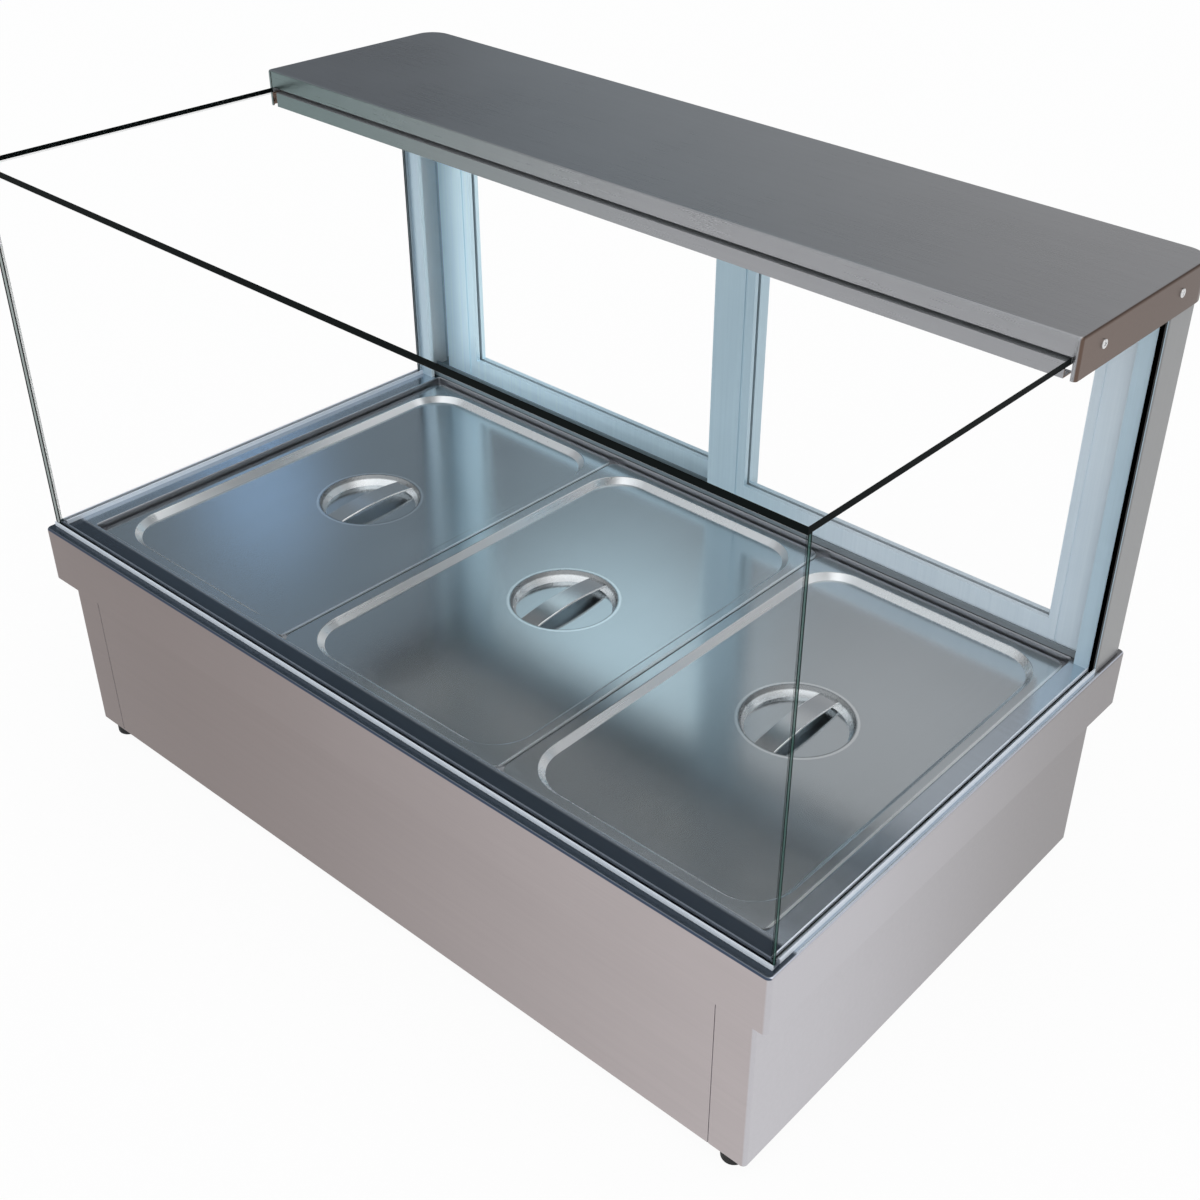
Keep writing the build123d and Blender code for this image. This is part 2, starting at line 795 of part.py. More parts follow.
# Hood shell: folded top, ends and rear, round at the rear corners, open below and in front
with BuildPart() as hood_shell:
    with BuildSketch(level(hood_bottom)):
        with Locations((0, hood_y)):
            Rectangle(hood_w, hood_d)
    extrude(amount=hood_h)
    fillet(hood_shell.edges().filter_by(Axis.Z).group_by(Axis.Y)[-1], hood_rear_r)
    fillet(hood_shell.edges().filter_by(Axis.Z).group_by(Axis.Y)[0], hood_front_r)
    fillet(hood_shell.faces().sort_by(Axis.Z)[-1].edges(), hood_edge_r)
    offset(amount=-sheet, openings=hood_shell.faces().sort_by(Axis.Z)[0])
    with BuildSketch(upright(hood_front)):
        mouth_half = hood_w / 2 - hood_return
        patch(-mouth_half, mouth_half, hood_bottom, hood_ceiling)
    extrude(amount=-2 * sheet, mode=Mode.SUBTRACT)
    with BuildSketch(level(hood_bottom)):
        lip_half = hood_w / 2 - hood_rear_r
        patch(-lip_half, lip_half, hood_rear - hood_lip, hood_rear - sheet / 2)
    extrude(amount=sheet)
    with BuildSketch(section(-hood_w / 2)):
        with Locations(hood_screw_spots):
            Circle(hood_screw_d / 2 + screw_fit)
    extrude(amount=hood_w, mode=Mode.SUBTRACT)
keep(hood_shell, "hood_shell")

# Hood fascia: one folded strip with a slot for the top pane and notches for the end panes
with BuildPart() as hood_fascia:
    fascia_half = hood_w / 2 - hood_return - fit
    fascia_y = hood_front + fascia_setback
    fascia_rear = fascia_y + fascia_lip
    slot_low = glass_top - fit
    slot_high = pane_top + fit
    slot_rear = top_glass_rear + fit
    with BuildSketch(section(-fascia_half)):
        patch(fascia_y, fascia_rear, hood_bottom, hood_ceiling)
        patch(fascia_y + sheet, fascia_rear, slot_high + sheet, hood_ceiling - sheet, Mode.SUBTRACT)
        patch(fascia_y + sheet, fascia_rear, hood_bottom + sheet, slot_low - sheet, Mode.SUBTRACT)
        patch(fascia_y, slot_rear, slot_low, slot_high, Mode.SUBTRACT)
        patch(slot_rear + sheet, fascia_rear, slot_low - sheet, slot_high + sheet, Mode.SUBTRACT)
    extrude(amount=2 * fascia_half)
    with BuildSketch(upright(fascia_y)):
        for s in (-1, 1):
            notch_in = glass_half - glass_t - fit
            patch(s * notch_in, s * fascia_half, hood_bottom, glass_top + fit)
    extrude(amount=-fascia_lip, mode=Mode.SUBTRACT)
keep(hood_fascia, "hood_fascia")


def hood_bracket(name, side):
    """Flat bar between a post and the end of the hood, tapped for the end screws."""
    with BuildPart() as bracket:
        with BuildSketch(section(side * post_half)):
            patch(bracket_front, bracket_rear, bracket_top - bracket_h, bracket_top)
            with Locations(hood_screw_spots):
                Circle(hood_screw_d / 2 + screw_fit, mode=Mode.SUBTRACT)
        extrude(amount=side * bracket_t)
    keep(bracket, name)


hood_bracket("left_hood_bracket", -1)
hood_bracket("right_hood_bracket", 1)

# Hood screws: two low heads on each end of the hood
with BuildPart() as hood_screws:
    for s in (-1, 1):
        with BuildSketch(section(s * hood_w / 2)):
            with Locations(hood_screw_spots):
                Circle(hood_screw_head_d / 2)
        extrude(amount=s * hood_screw_head_h)
        with BuildSketch(section(s * hood_w / 2)):
            with Locations(hood_screw_spots):
                Circle(hood_screw_d / 2)
        extrude(amount=-s * (sheet + bracket_t - fit))
    for end in (0, -1):
        fillet(hood_screws.edges().group_by(Axis.X)[end], hood_screw_head_h / 2)
keep(hood_screws, "hood_screws")

# Lamp tray: bright trough against the ceiling of the hood
tray_y = hood_front + tray_set + tray_mouth / 2
tray_low = hood_ceiling - tray_h
tray_slope = (tray_mouth - tray_crown) / 2
tray_wall = sheet * (tray_h ** 2 + tray_slope ** 2) ** 0.5 / tray_h


def trough(mouth, crown, top, mode):
    """Draw one outline of the trough in the open sketch, from its mouth up to its crown."""
    Polygon(
        (tray_y - mouth / 2, tray_low),
        (tray_y - crown / 2, top),
        (tray_y + crown / 2, top),
        (tray_y + mouth / 2, tray_low),
        align=None,
        mode=mode,
    )


with BuildPart() as lamp_tray:
    with BuildSketch(section(-tray_l / 2)):
        trough(tray_mouth, tray_crown, hood_ceiling, Mode.ADD)
        inner_mouth = tray_mouth - 2 * tray_wall
        inner_crown = inner_mouth - 2 * tray_slope * (tray_h - sheet) / tray_h
        trough(inner_mouth, inner_crown, hood_ceiling - sheet, Mode.SUBTRACT)
    extrude(amount=tray_l)
keep(lamp_tray, "lamp_tray")

# Heat lamps: two quartz tubes side by side along the trough
lamp_z = hood_ceiling - lamp_drop
with BuildPart() as heat_lamps:
    for s in (-1, 1):
        with BuildSketch(section(s * lamp_pitch / 2 - lamp_l / 2)):
            with Locations((tray_y, lamp_z)):
                Circle(lamp_d / 2)
        extrude(amount=lamp_l)
keep(heat_lamps, "heat_lamps")

# Lamp holders: four ceramic blocks that hang from the trough and cup the ends of the tubes
with BuildPart() as lamp_holders:
    holder_spots = [
        (s * lamp_pitch / 2 + e * (lamp_l / 2 - holder_cup), e) for s in (-1, 1) for e in (-1, 1)
    ]
    for holder_x, e in holder_spots:
        with BuildSketch(section(holder_x)):
            holder_low = lamp_z - lamp_d / 2 - holder_wall
            patch(tray_y - holder_w / 2, tray_y + holder_w / 2, holder_low, hood_ceiling - sheet)
        extrude(amount=e * holder_l)
    for holder_x, e in holder_spots:
        with BuildSketch(section(holder_x)):
            with Locations((tray_y, lamp_z)):
                Circle(lamp_d / 2 + screw_fit)
        extrude(amount=e * holder_cup, mode=Mode.SUBTRACT)
keep(lamp_holders, "lamp_holders")

# Lamp guard: grille across the mouth of the trough
with BuildPart() as lamp_guard:
    with BuildSketch(level(tray_low - guard_wire)):
        guard_l = (guard_ties - 1) * guard_tie_pitch + guard_wire
        guard_step = (tray_mouth - guard_wire) / (guard_wires - 1)
        for i in range(guard_wires):
            wire_y = tray_y - tray_mouth / 2 + i * guard_step
            patch(-guard_l / 2, guard_l / 2, wire_y, wire_y + guard_wire)
        for i in range(guard_ties):
            tie_x = -guard_l / 2 + i * guard_tie_pitch
            patch(tie_x, tie_x + guard_wire, tray_y - tray_mouth / 2, tray_y + tray_mouth / 2)
    extrude(amount=guard_wire)
keep(lamp_guard, "lamp_guard")


def door_track(name, base, lip_end):
    """E-section with two grooves: a base strip against its seat and three lips towards the doors."""
    toward = 1 if lip_end > base else -1
    middle = right_door_y + door_t + track_side_gap
    track_rear = track_front + track_d
    with BuildPart() as track:
        with BuildSketch(section(-track_l / 2)):
            patch(track_front, track_rear, base, base + toward * track_base)
            patch(track_front, track_front + track_lip, base, lip_end)
            patch(middle, middle + door_gap - 2 * track_side_gap, base, lip_end)
            patch(track_rear - track_lip, track_rear, base, lip_end)
        extrude(amount=track_l)
    keep(track, name)


door_track("bottom_door_track", flange_top, flange_top + track_h)
door_track("top_door_track", hood_ceiling, hood_ceiling - top_track_h)


def sliding_door(side, x0, y0):
    """Framed door: four-sided frame with a rebated pane, a finger pull and two glides below."""
    x1 = x0 + door_w
    sill = door_bottom + bottom_rail
    head = door_head - top_rail
    pane_y = y0 + (door_t - door_glass_t) / 2
    pull_x = x1 - stile_w / 2 if side == "right" else x0 + stile_w / 2
    with BuildPart() as frame:
        with BuildSketch(upright(y0)):
            patch(x0, x1, door_bottom, door_head)
            patch(x0 + stile_w, x1 - stile_w, sill, head, Mode.SUBTRACT)
        extrude(amount=-door_t)
        with BuildSketch(upright(pane_y - fit)):
            groove_x0 = x0 + stile_w - door_rebate
            groove_x1 = x1 - stile_w + door_rebate
            patch(groove_x0, groove_x1, sill - door_rebate, head + door_rebate)
        extrude(amount=-door_glass_t - 2 * fit, mode=Mode.SUBTRACT)
        with BuildSketch(upright(y0)):
            for line_x in (x0 + stile_w - door_groove_inset, x1 - stile_w + door_groove_inset):
                patch(line_x - door_groove_w / 2, line_x + door_groove_w / 2, door_bottom, door_head)
        extrude(amount=-door_groove_depth, mode=Mode.SUBTRACT)
        with BuildSketch(upright(y0 + door_t)):
            with Locations((pull_x, (door_bottom + door_head) / 2)):
                SlotOverall(pull_l, pull_w, rotation=90)
        extrude(amount=pull_depth, mode=Mode.SUBTRACT)
    keep(frame, f"{side}_door_frame")
    with BuildPart() as pane:
        with BuildSketch(upright(pane_y)):
            edge = door_rebate - fit
            patch(x0 + stile_w - edge, x1 - stile_w + edge, sill - edge, head + edge)
        extrude(amount=-door_glass_t)
    keep(pane, f"{side}_door_glass")
    with BuildPart() as glides:
        with BuildSketch(level(flange_top + track_base + fit)):
            with Locations((x0 + glide_inset, y0 + door_t / 2), (x1 - glide_inset, y0 + door_t / 2)):
                Rectangle(glide_l, glide_w)
        extrude(amount=door_clear - track_base - fit)
    keep(glides, f"{side}_door_glides")


# The right door closes fully; the left one stands a little open
sliding_door("right", -door_lap, right_door_y)
sliding_door("left", door_lap - door_w + door_ajar, left_door_y)

# Control plate: pressed plate on the rear panel round the controls
with BuildPart() as control_plate:
    with BuildSketch(upright(body_rear)):
        with Locations((control_x, control_z)):
            RectangleRounded(plate_w, plate_h, plate_r)
        control_openings(Mode.SUBTRACT)
    extrude(amount=-sheet)
keep(control_plate, "control_plate")

# Thermostat: switch block behind the panel, with a bush through panel and plate
dial_x = control_x + knob_x
bush_end = plate_y + bush_out
with BuildPart() as thermostat_body:
    with BuildSketch(upright(panel_inside)):
        with Locations((dial_x, control_z)):
            Rectangle(thermostat_w, thermostat_w)
    extrude(amount=thermostat_depth)
    fillet(thermostat_body.edges().filter_by(Axis.Y), thermostat_r)
    with BuildSketch(upright(panel_inside)):
        with Locations((dial_x, control_z)):
            Circle(bush_d / 2)
    extrude(amount=panel_inside - bush_end)
    with BuildSketch(upright(bush_end)):
        with Locations((dial_x, control_z)):
            Circle(shaft_d / 2 + shaft_fit)
    extrude(amount=bush_end - panel_inside + shaft_in, mode=Mode.SUBTRACT)
keep(thermostat_body, "thermostat_body")

# Thermostat shaft: turns in the bush and carries the knob
shaft_end = plate_y + shaft_out
with BuildPart() as thermostat_shaft:
    with BuildSketch(upright(shaft_end)):
        with Locations((dial_x, control_z)):
            Circle(shaft_d / 2)
    extrude(amount=shaft_end - panel_inside + shaft_in - fit)
keep(thermostat_shaft, "thermostat_shaft")

# Thermostat knob: round base with a bar grip, hollow below to clear the bush
knob_face = plate_y + knob_gap
with BuildPart() as thermostat_knob:
    with BuildSketch(upright(knob_face)):
        with Locations((dial_x, control_z)):
            Circle(knob_d / 2)
    extrude(amount=-knob_base)
    with BuildSketch(upright(knob_face + knob_base)):
        with Locations((dial_x, control_z)):
            SlotOverall(knob_d - knob_base, knob_grip_w, rotation=90)
    extrude(amount=knob_base - knob_h)
    fillet(thermostat_knob.faces().sort_by(Axis.Y)[-1].edges(), knob_edge_r)
    with BuildSketch(upright(knob_face)):
        with Locations((dial_x, control_z)):
            Circle(bush_d / 2 + knob_gap)
    extrude(amount=-bush_out, mode=Mode.SUBTRACT)
    with BuildSketch(upright(knob_face)):
        with Locations((dial_x, control_z)):
            Circle(shaft_d / 2 + shaft_fit)
    extrude(amount=knob_face - shaft_end - fit, mode=Mode.SUBTRACT)
keep(thermostat_knob, "thermostat_knob")

# Switch housings: two moulded frames that clip into the plate, open towards the operator
switch_spots = {"heat_rocker": control_x + heat_switch_x, "lamp_rocker": control_x + lamp_switch_x}
pivot_y = plate_y - rocker_pivot_in
pocket_w = switch_w - 2 * switch_wall
pocket_h = switch_h - 2 * switch_wall
with BuildPart() as switch_housings:
    for switch_x in switch_spots.values():
        with BuildSketch(upright(plate_y)):
            with Locations((switch_x, control_z)):
                Rectangle(bezel_w, bezel_h)
        extrude(amount=-bezel_t)
        with BuildSketch(upright(plate_y)):
            with Locations((switch_x, control_z)):
                Rectangle(switch_w, switch_h)
        extrude(amount=switch_depth)
        with BuildSketch(upright(plate_y + bezel_t)):
            with Locations((switch_x, control_z)):
                Rectangle(pocket_w, pocket_h)
        extrude(amount=bezel_t + switch_depth - switch_wall, mode=Mode.SUBTRACT)
        with BuildSketch(section(switch_x - switch_w / 2)):
            with Locations((pivot_y, control_z)):
                Circle(rocker_pin_d / 2 + shaft_fit)
        extrude(amount=switch_w, mode=Mode.SUBTRACT)
keep(switch_housings, "switch_housings")


def rocker(name, x):
    """Rocker with a hollowed face and round ends about its pivot pins, resting at its off tilt."""
    radius = pocket_h / 2 - rocker_gap
    face = rocker_pivot_in + bezel_t - rocker_gap
    width = pocket_w - 2 * rocker_gap
    tilt = radians(rocker_tilt)
    pin_l = switch_w - switch_wall
    across = Vector(0, cos(tilt), sin(tilt))
    body_plane = Plane(origin=(x - width / 2, pivot_y, control_z), x_dir=across, z_dir=(1, 0, 0))
    pin_plane = Plane(origin=(x - pin_l / 2, pivot_y, control_z), x_dir=across, z_dir=(1, 0, 0))
    with BuildPart() as tip:
        with BuildSketch(body_plane):
            Circle(radius)
            patch(-radius, -rocker_depth / 2, -radius, radius, Mode.SUBTRACT)
            with BuildLine():
                Polyline(
                    (face, 0),
                    (face + rocker_crown, radius),
                    (face + radius, radius),
                    (face + radius, -radius),
                    (face + rocker_crown, -radius),
                    close=True,
                )
            make_face(mode=Mode.SUBTRACT)
        extrude(amount=width)
        with BuildSketch(pin_plane):
            Circle(rocker_pin_d / 2)
        extrude(amount=pin_l)
    keep(tip, name)


for rocker_name, rocker_x in switch_spots.items():
    rocker(rocker_name, rocker_x)

# Pilot lamp: bezel and domed lens outside, body through the plate
with BuildPart() as pilot_lamp:
    with BuildSketch(upright(plate_y)):
        with Locations((control_x + pilot_x, control_z)):
            Circle(pilot_bezel_d / 2)
    extrude(amount=-bezel_t)
    with BuildSketch(upright(plate_y)):
        with Locations((control_x + pilot_x, control_z)):
            Circle(pilot_d / 2 - fit)
    extrude(amount=-pilot_lens_h)
    fillet(pilot_lamp.faces().sort_by(Axis.Y)[-1].edges(), pilot_lens_h - bezel_t - fit)
    with BuildSketch(upright(plate_y)):
        with Locations((control_x + pilot_x, control_z)):
            Circle(pilot_d / 2)
    extrude(amount=pilot_body_l)
keep(pilot_lamp, "pilot_lamp")

# Cable gland: hexagon and dome outside, threaded tail and lock nut inside, bored for the lead
gland_z = foot_h + gland_up
with BuildPart() as cable_gland:
    with BuildSketch(upright(body_rear)):
        with Locations((gland_x, gland_z)):
            RegularPolygon(gland_across / 2, 6, major_radius=False)
    extrude(amount=-gland_flange)
    with BuildSketch(upright(body_rear + gland_flange)):
        with Locations((gland_x, gland_z)):
            Circle(gland_dome_d / 2)
    extrude(amount=-gland_dome_l)
    fillet(cable_gland.faces().sort_by(Axis.Y)[-1].edges(), gland_dome_r)
    with BuildSketch(upright(body_rear)):
        with Locations((gland_x, gland_z)):
            Circle(gland_tail_d / 2)
    extrude(amount=sheet + gland_tail_l)
    with BuildSketch(upright(panel_inside)):
        with Locations((gland_x, gland_z)):
            RegularPolygon(gland_across / 2, 6, major_radius=False)
    extrude(amount=gland_flange)
    with BuildSketch(upright(body_rear + gland_flange + gland_dome_l)):
        with Locations((gland_x, gland_z)):
            Circle(gland_bore_d / 2)
    extrude(amount=gland_flange + gland_dome_l + sheet + gland_tail_l, mode=Mode.SUBTRACT)
keep(cable_gland, "cable_gland")

# Terminal block: moulded strip on the base plate, with a screw well for each way
with BuildPart() as terminal_block:
    with BuildSketch(level(base_top)):
        with Locations((control_x, body_rear - terminal_set)):
            Rectangle(terminal_l, terminal_w)
    extrude(amount=terminal_h)
    with BuildSketch(level(base_top + terminal_h)):
        with Locations((control_x, body_rear - terminal_set)):
            with GridLocations(terminal_l / terminal_ways, 1, terminal_ways, 1):
                Circle(terminal_well_d / 2)
    extrude(amount=-terminal_well_depth, mode=Mode.SUBTRACT)
keep(terminal_block, "terminal_block")
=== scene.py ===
import json
from math import cos, pi, radians, sin
import bmesh
import bpy
from mathutils import Matrix, Vector


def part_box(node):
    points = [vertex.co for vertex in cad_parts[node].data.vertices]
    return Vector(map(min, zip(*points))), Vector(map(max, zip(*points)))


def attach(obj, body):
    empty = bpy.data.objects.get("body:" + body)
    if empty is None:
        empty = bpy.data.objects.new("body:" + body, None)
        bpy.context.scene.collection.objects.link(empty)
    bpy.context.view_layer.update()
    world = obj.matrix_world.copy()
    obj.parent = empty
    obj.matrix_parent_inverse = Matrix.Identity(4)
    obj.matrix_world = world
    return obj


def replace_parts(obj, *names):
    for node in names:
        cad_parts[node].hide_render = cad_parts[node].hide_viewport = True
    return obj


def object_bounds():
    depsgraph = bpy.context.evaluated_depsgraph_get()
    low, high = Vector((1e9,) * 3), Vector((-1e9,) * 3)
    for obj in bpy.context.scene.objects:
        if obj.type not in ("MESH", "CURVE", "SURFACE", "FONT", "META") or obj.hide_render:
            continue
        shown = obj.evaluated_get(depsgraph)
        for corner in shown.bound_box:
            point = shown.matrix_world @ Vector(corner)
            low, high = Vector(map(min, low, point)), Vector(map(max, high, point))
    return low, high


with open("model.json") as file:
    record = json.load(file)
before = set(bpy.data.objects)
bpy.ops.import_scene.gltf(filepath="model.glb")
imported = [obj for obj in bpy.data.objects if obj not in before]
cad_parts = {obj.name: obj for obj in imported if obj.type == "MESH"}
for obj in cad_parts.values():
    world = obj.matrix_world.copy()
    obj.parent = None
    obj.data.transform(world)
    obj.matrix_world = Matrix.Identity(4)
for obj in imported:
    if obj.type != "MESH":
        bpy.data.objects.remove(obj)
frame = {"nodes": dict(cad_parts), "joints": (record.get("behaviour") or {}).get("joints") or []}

cad_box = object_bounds()

# Deck: one sheet of satin stainless steel, folded to a drop skirt all round and polished on top.
# It lies over the cabinet, and its turned-down edge frames the pans.


class Value:
    """One output of a shader node. Arithmetic on it adds Math nodes to the same tree."""

    def __init__(self, tree, socket):
        self.tree = tree
        self.socket = socket

    def node(self, kind, settings, sockets, output=0):
        """Add any other node: its settings come first, then the values or links of its sockets."""
        made = self.tree.nodes.new(kind)
        for key, setting in settings.items():
            if key == "stops":
                ramp = made.color_ramp.elements
                while len(ramp) < len(setting):
                    ramp.new(0.5)
                for stop, (at, colour) in zip(ramp, setting):
                    stop.position = at
                    stop.color = (*colour, 1.0)
            else:
                setattr(made, key, setting)
        for key, value in sockets.items():
            if isinstance(value, Value):
                self.tree.links.new(value.socket, made.inputs[key])
            else:
                made.inputs[key].default_value = value
        return Value(self.tree, made.outputs[output])

    def math(self, operation, first, second=0.0):
        return self.node("ShaderNodeMath", {"operation": operation}, {0: first, 1: second})

    def __add__(self, other):
        return self.math("ADD", self, other)

    def __radd__(self, other):
        return self.math("ADD", other, self)

    def __sub__(self, other):
        return self.math("SUBTRACT", self, other)

    def __rsub__(self, other):
        return self.math("SUBTRACT", other, self)

    def __mul__(self, other):
        return self.math("MULTIPLY", self, other)

    def __rmul__(self, other):
        return self.math("MULTIPLY", other, self)

    def __abs__(self):
        return self.math("ABSOLUTE", self)


def finish(name, **constants):
    """New material: its shader with the constants set, and a surface point's place and facing."""
    material = bpy.data.materials.new(name)
    material.use_nodes = True
    tree = material.node_tree
    shader = tree.nodes["Principled BSDF"]
    for socket, value in constants.items():
        shader.inputs[socket.replace("_", " ")].default_value = value
    source = tree.nodes.new("ShaderNodeTexCoord")
    place = Value(tree, source.outputs["Object"])
    facing = Value(tree, source.outputs["Normal"])
    return material, shader, place, facing


def feed(shader, **links):
    """Link values to the shader's sockets."""
    for socket, value in links.items():
        value.tree.links.new(value.socket, shader.inputs[socket.replace("_", " ")])


def assign(material, *names):
    """Give CAD nodes this material instead of their plain one."""
    for name in names:
        slots = frame["nodes"][name].data.materials
        slots.clear()
        slots.append(material)


def noise(place, scale, detail=3.0, stretch=(1.0, 1.0, 1.0), roughness=0.5):
    """Noise from 0 to 1; scale is in waves per metre, before the stretch."""
    drawn = place.node("ShaderNodeVectorMath", {"operation": "MULTIPLY"}, {0: place, 1: stretch})
    sockets = {"Vector": drawn, "Scale": scale, "Detail": detail, "Roughness": roughness}
    return place.node("ShaderNodeTexNoise", {}, sockets)


def between(value, low, high):
    """Smooth step from 0 at low to 1 at high."""
    sockets = {"Value": value, "From Min": low, "From Max": high}
    return value.node("ShaderNodeMapRange", {"interpolation_type": "SMOOTHSTEP"}, sockets)


def band(value, low, full, fading, high):
    """1 between full and fading, with soft ends that reach 0 at low and at high."""
    return between(value, low, full) * (1 - between(value, fading, high))


def most(first, second):
    """The larger of two values."""
    return first.math("MAXIMUM", first, second)


def part_of(vector, axis):
    """One coordinate of a vector."""
    return vector.node("ShaderNodeSeparateXYZ", {}, {0: vector}, output=axis)


def looks_along(facing, axis):
    """1 where the surface faces up an axis, 0 where it faces across it or down."""
    return between(part_of(facing, axis), 0.3, 0.6)


def mix(factor, first, second, blend="MIX"):
    """Colour between two colours; a link stands for either of them."""
    links = [value for value in (factor, first, second) if isinstance(value, Value)]
    sockets = {0: factor, 6: first, 7: second}
    for key in (6, 7):
        if not isinstance(sockets[key], Value):
            sockets[key] = (*sockets[key], 1.0)
    return links[0].node("ShaderNodeMix", {"data_type": "RGBA", "blend_type": blend}, sockets, output=2)


def bump(height, depth, strength=1.0):
    """Surface normal of a relief that is depth metres high."""
    return height.node("ShaderNodeBump", {}, {"Height": height, "Distance": depth, "Strength": strength})


GRAIN_X = (0.012, 1.0, 1.0)
GRAIN_Z = (1.0, 1.0, 0.012)
# FRONT_FADE spans the painted gradient of light along a front, from its left colour to its right one.
FRONT_FADE = (0.75 * cad_box[0].x, 1.4 * cad_box[1].x)


def satin_steel(name, top, front, end, grain, rough, metal=1.0, under=0.5, fade=FRONT_FADE):
    """Ground stainless sheet: fine lines along the grain, soft stains, and a painted reflection for each way
    it faces.

    front is its painted reflection at the left and at the right, where fade ends and which the rear has all
    along, so that painted light grows across it, and end is its painted reflection at the front and at the
    rear. The underside is less metallic and painted in the grey of under, which stands in for the light it
    gets.
    """
    material, shader, place, facing = finish(name)
    lines = noise(place, 900.0, 2.0, grain)
    wide_lines = noise(place, 160.0, 3.0, grain)
    stains = noise(place, 6.0, 4.0, roughness=0.6)
    rise = part_of(facing, "Z")
    # Painted reflection: a colour for each way the sheet faces, graded along X on fronts and along Y on
    # ends, and a grey underside.
    to_front = between(abs(part_of(facing, "Y")), 0.4, 0.85)
    to_end = between(abs(part_of(facing, "X")), 0.25, 0.6)
    to_floor = between(-1 * rise, 0.4, 0.85)
    along = between(part_of(place, "X"), *fade)
    front_tint = mix(most(along, looks_along(facing, "Y")), *front)
    end_tint = mix(between(part_of(place, "Y"), cad_box[0].y, cad_box[1].y), *end)
    tint = mix(to_end, mix(to_front, mix(to_floor, top, (under, under, under)), front_tint), end_tint)
    shade = 0.86 + 0.10 * lines + 0.08 * wide_lines + 0.10 * stains
    feed(
        shader,
        Base_Color=mix(1.0, tint, shade, "MULTIPLY"),
        Metallic=metal - 0.7 * metal * to_floor,
        Roughness=rough - 0.05 + 0.08 * lines + 0.06 * stains,
        Normal=bump(0.5 * lines + 0.5 * wide_lines, 0.00002),
    )
    return material, shader, place, facing, tint, shade


# Painted reflection on the cabinet: its front is darker at the left and lighter at the right, its ends
# lighter at the front and darker at the rear.
cabinet_front = ((0.214, 0.178, 0.172), (0.475, 0.43, 0.435))
cabinet_end = ((0.52, 0.51, 0.54), (0.255, 0.24, 0.245))
# Painted light on the deck: a painted highlight along the crest of its folded edge, a dark painted
# reflection on the bend below the crest and on the strip in front of the pans, painted shade behind the pans
# and on the faces just inside its edge, and a bluish painted reflection on its top.
deck_top = (0.55, 0.61, 0.67)
crest_highlight = (0.78, 0.82, 0.93)
bend_reflection = (0.06, 0.08, 0.12)
lip_reflection = (0.028, 0.040, 0.056)
rear_shade = (0.24, 0.24, 0.25)
inside_shade = (0.30, 0.31, 0.33)
DECK_EDGE, EDGE_FADE = 0.02, 0.01
RIM_GAP, RIM_FADE = 0.004, 0.006
deck_steel, shader, place, facing, tint, shade = satin_steel(
    "deck_steel", deck_top, cabinet_front, cabinet_end, GRAIN_X, rough=0.34
)
rise = part_of(facing, "Z")
x, y = part_of(place, "X"), part_of(place, "Y")
edge_x, edge_y = cad_box[1].x - DECK_EDGE, cad_box[1].y - DECK_EDGE
within = 1 - between(abs(x), edge_x - EDGE_FADE, edge_x)
within = within * (1 - between(abs(y), edge_y - EDGE_FADE, edge_y))
bent = between(abs(part_of(facing, "Y")), 0.2, 0.5) * between(rise, 0.12, 0.35)
flat = between(rise, 0.80, 0.97)
pan_front, pan_rear = (corner.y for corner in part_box("left_pan"))
before_pans = flat * (1 - between(y, pan_front - RIM_GAP - RIM_FADE, pan_front - RIM_GAP))
# Here the painted highlight, dark reflections and shade above are laid on by place and facing.
outside = mix(bent, mix(between(rise, 0.45, 0.75), tint, crest_highlight), bend_reflection)
level = mix(between(y, pan_rear - RIM_GAP, pan_rear), deck_top, rear_shade)
tint = mix(before_pans, mix(flat, mix(within, outside, inside_shade), level), lip_reflection)
lines = noise(place, 160.0, 3.0, GRAIN_X)
feed(
    shader,
    Base_Color=mix(1.0, tint, shade, "MULTIPLY"),
    Metallic=1 - 0.75 * before_pans,
    Roughness=0.30 - 0.18 * flat + 0.1 * lines,
    Normal=bump(lines, 0.00001),
)
assign(deck_steel, "deck")

# Cabinet panels: folded satin sheet. The end panels wrap round both corners, the front panel stands
# between them, and the rear panel is screwed to the tabs behind it. The base plate lies on their
# bottom returns.
# The cabinet's panels and base plate take satin_steel's painted reflection, bluish on top.
cabinet_top = (0.42, 0.45, 0.50)
cabinet_steel = satin_steel("cabinet_steel", cabinet_top, cabinet_front, cabinet_end, GRAIN_X, rough=0.34)[0]
assign(cabinet_steel, "front_panel", "left_end_panel", "right_end_panel", "rear_panel", "base_plate")

# Feet: four black rubber buttons, each moulded with a pocket for the head of the screw that holds it
# to the base.
rubber, shader, place, facing = finish("black_rubber", Specular_IOR_Level=0.3)
dust = noise(place, 90.0, 5.0)
pores = noise(place, 1800.0, 2.0)
feed(
    shader,
    Base_Color=mix(between(dust, 0.45, 0.8), (0.008, 0.008, 0.009), (0.030, 0.029, 0.028)),
    Roughness=0.55 + 0.3 * dust,
    Normal=bump(pores, 0.0001),
)
assign(rubber, "feet")

# Foot screws: plated machine screws, which go up from the pocket of the foot through the base plate
# to a nut.
plated, shader, place, facing = finish("plated_screw", Metallic=1.0)
turned = noise(place, 1500.0, 2.0, (1.0, 1.0, 0.1))
feed(
    shader,
    Base_Color=mix(turned, (0.58, 0.58, 0.58), (0.80, 0.80, 0.81)),
    Roughness=0.16 + 0.16 * turned,
    Normal=bump(turned, 0.00002),
)
assign(plated, "foot_screws")

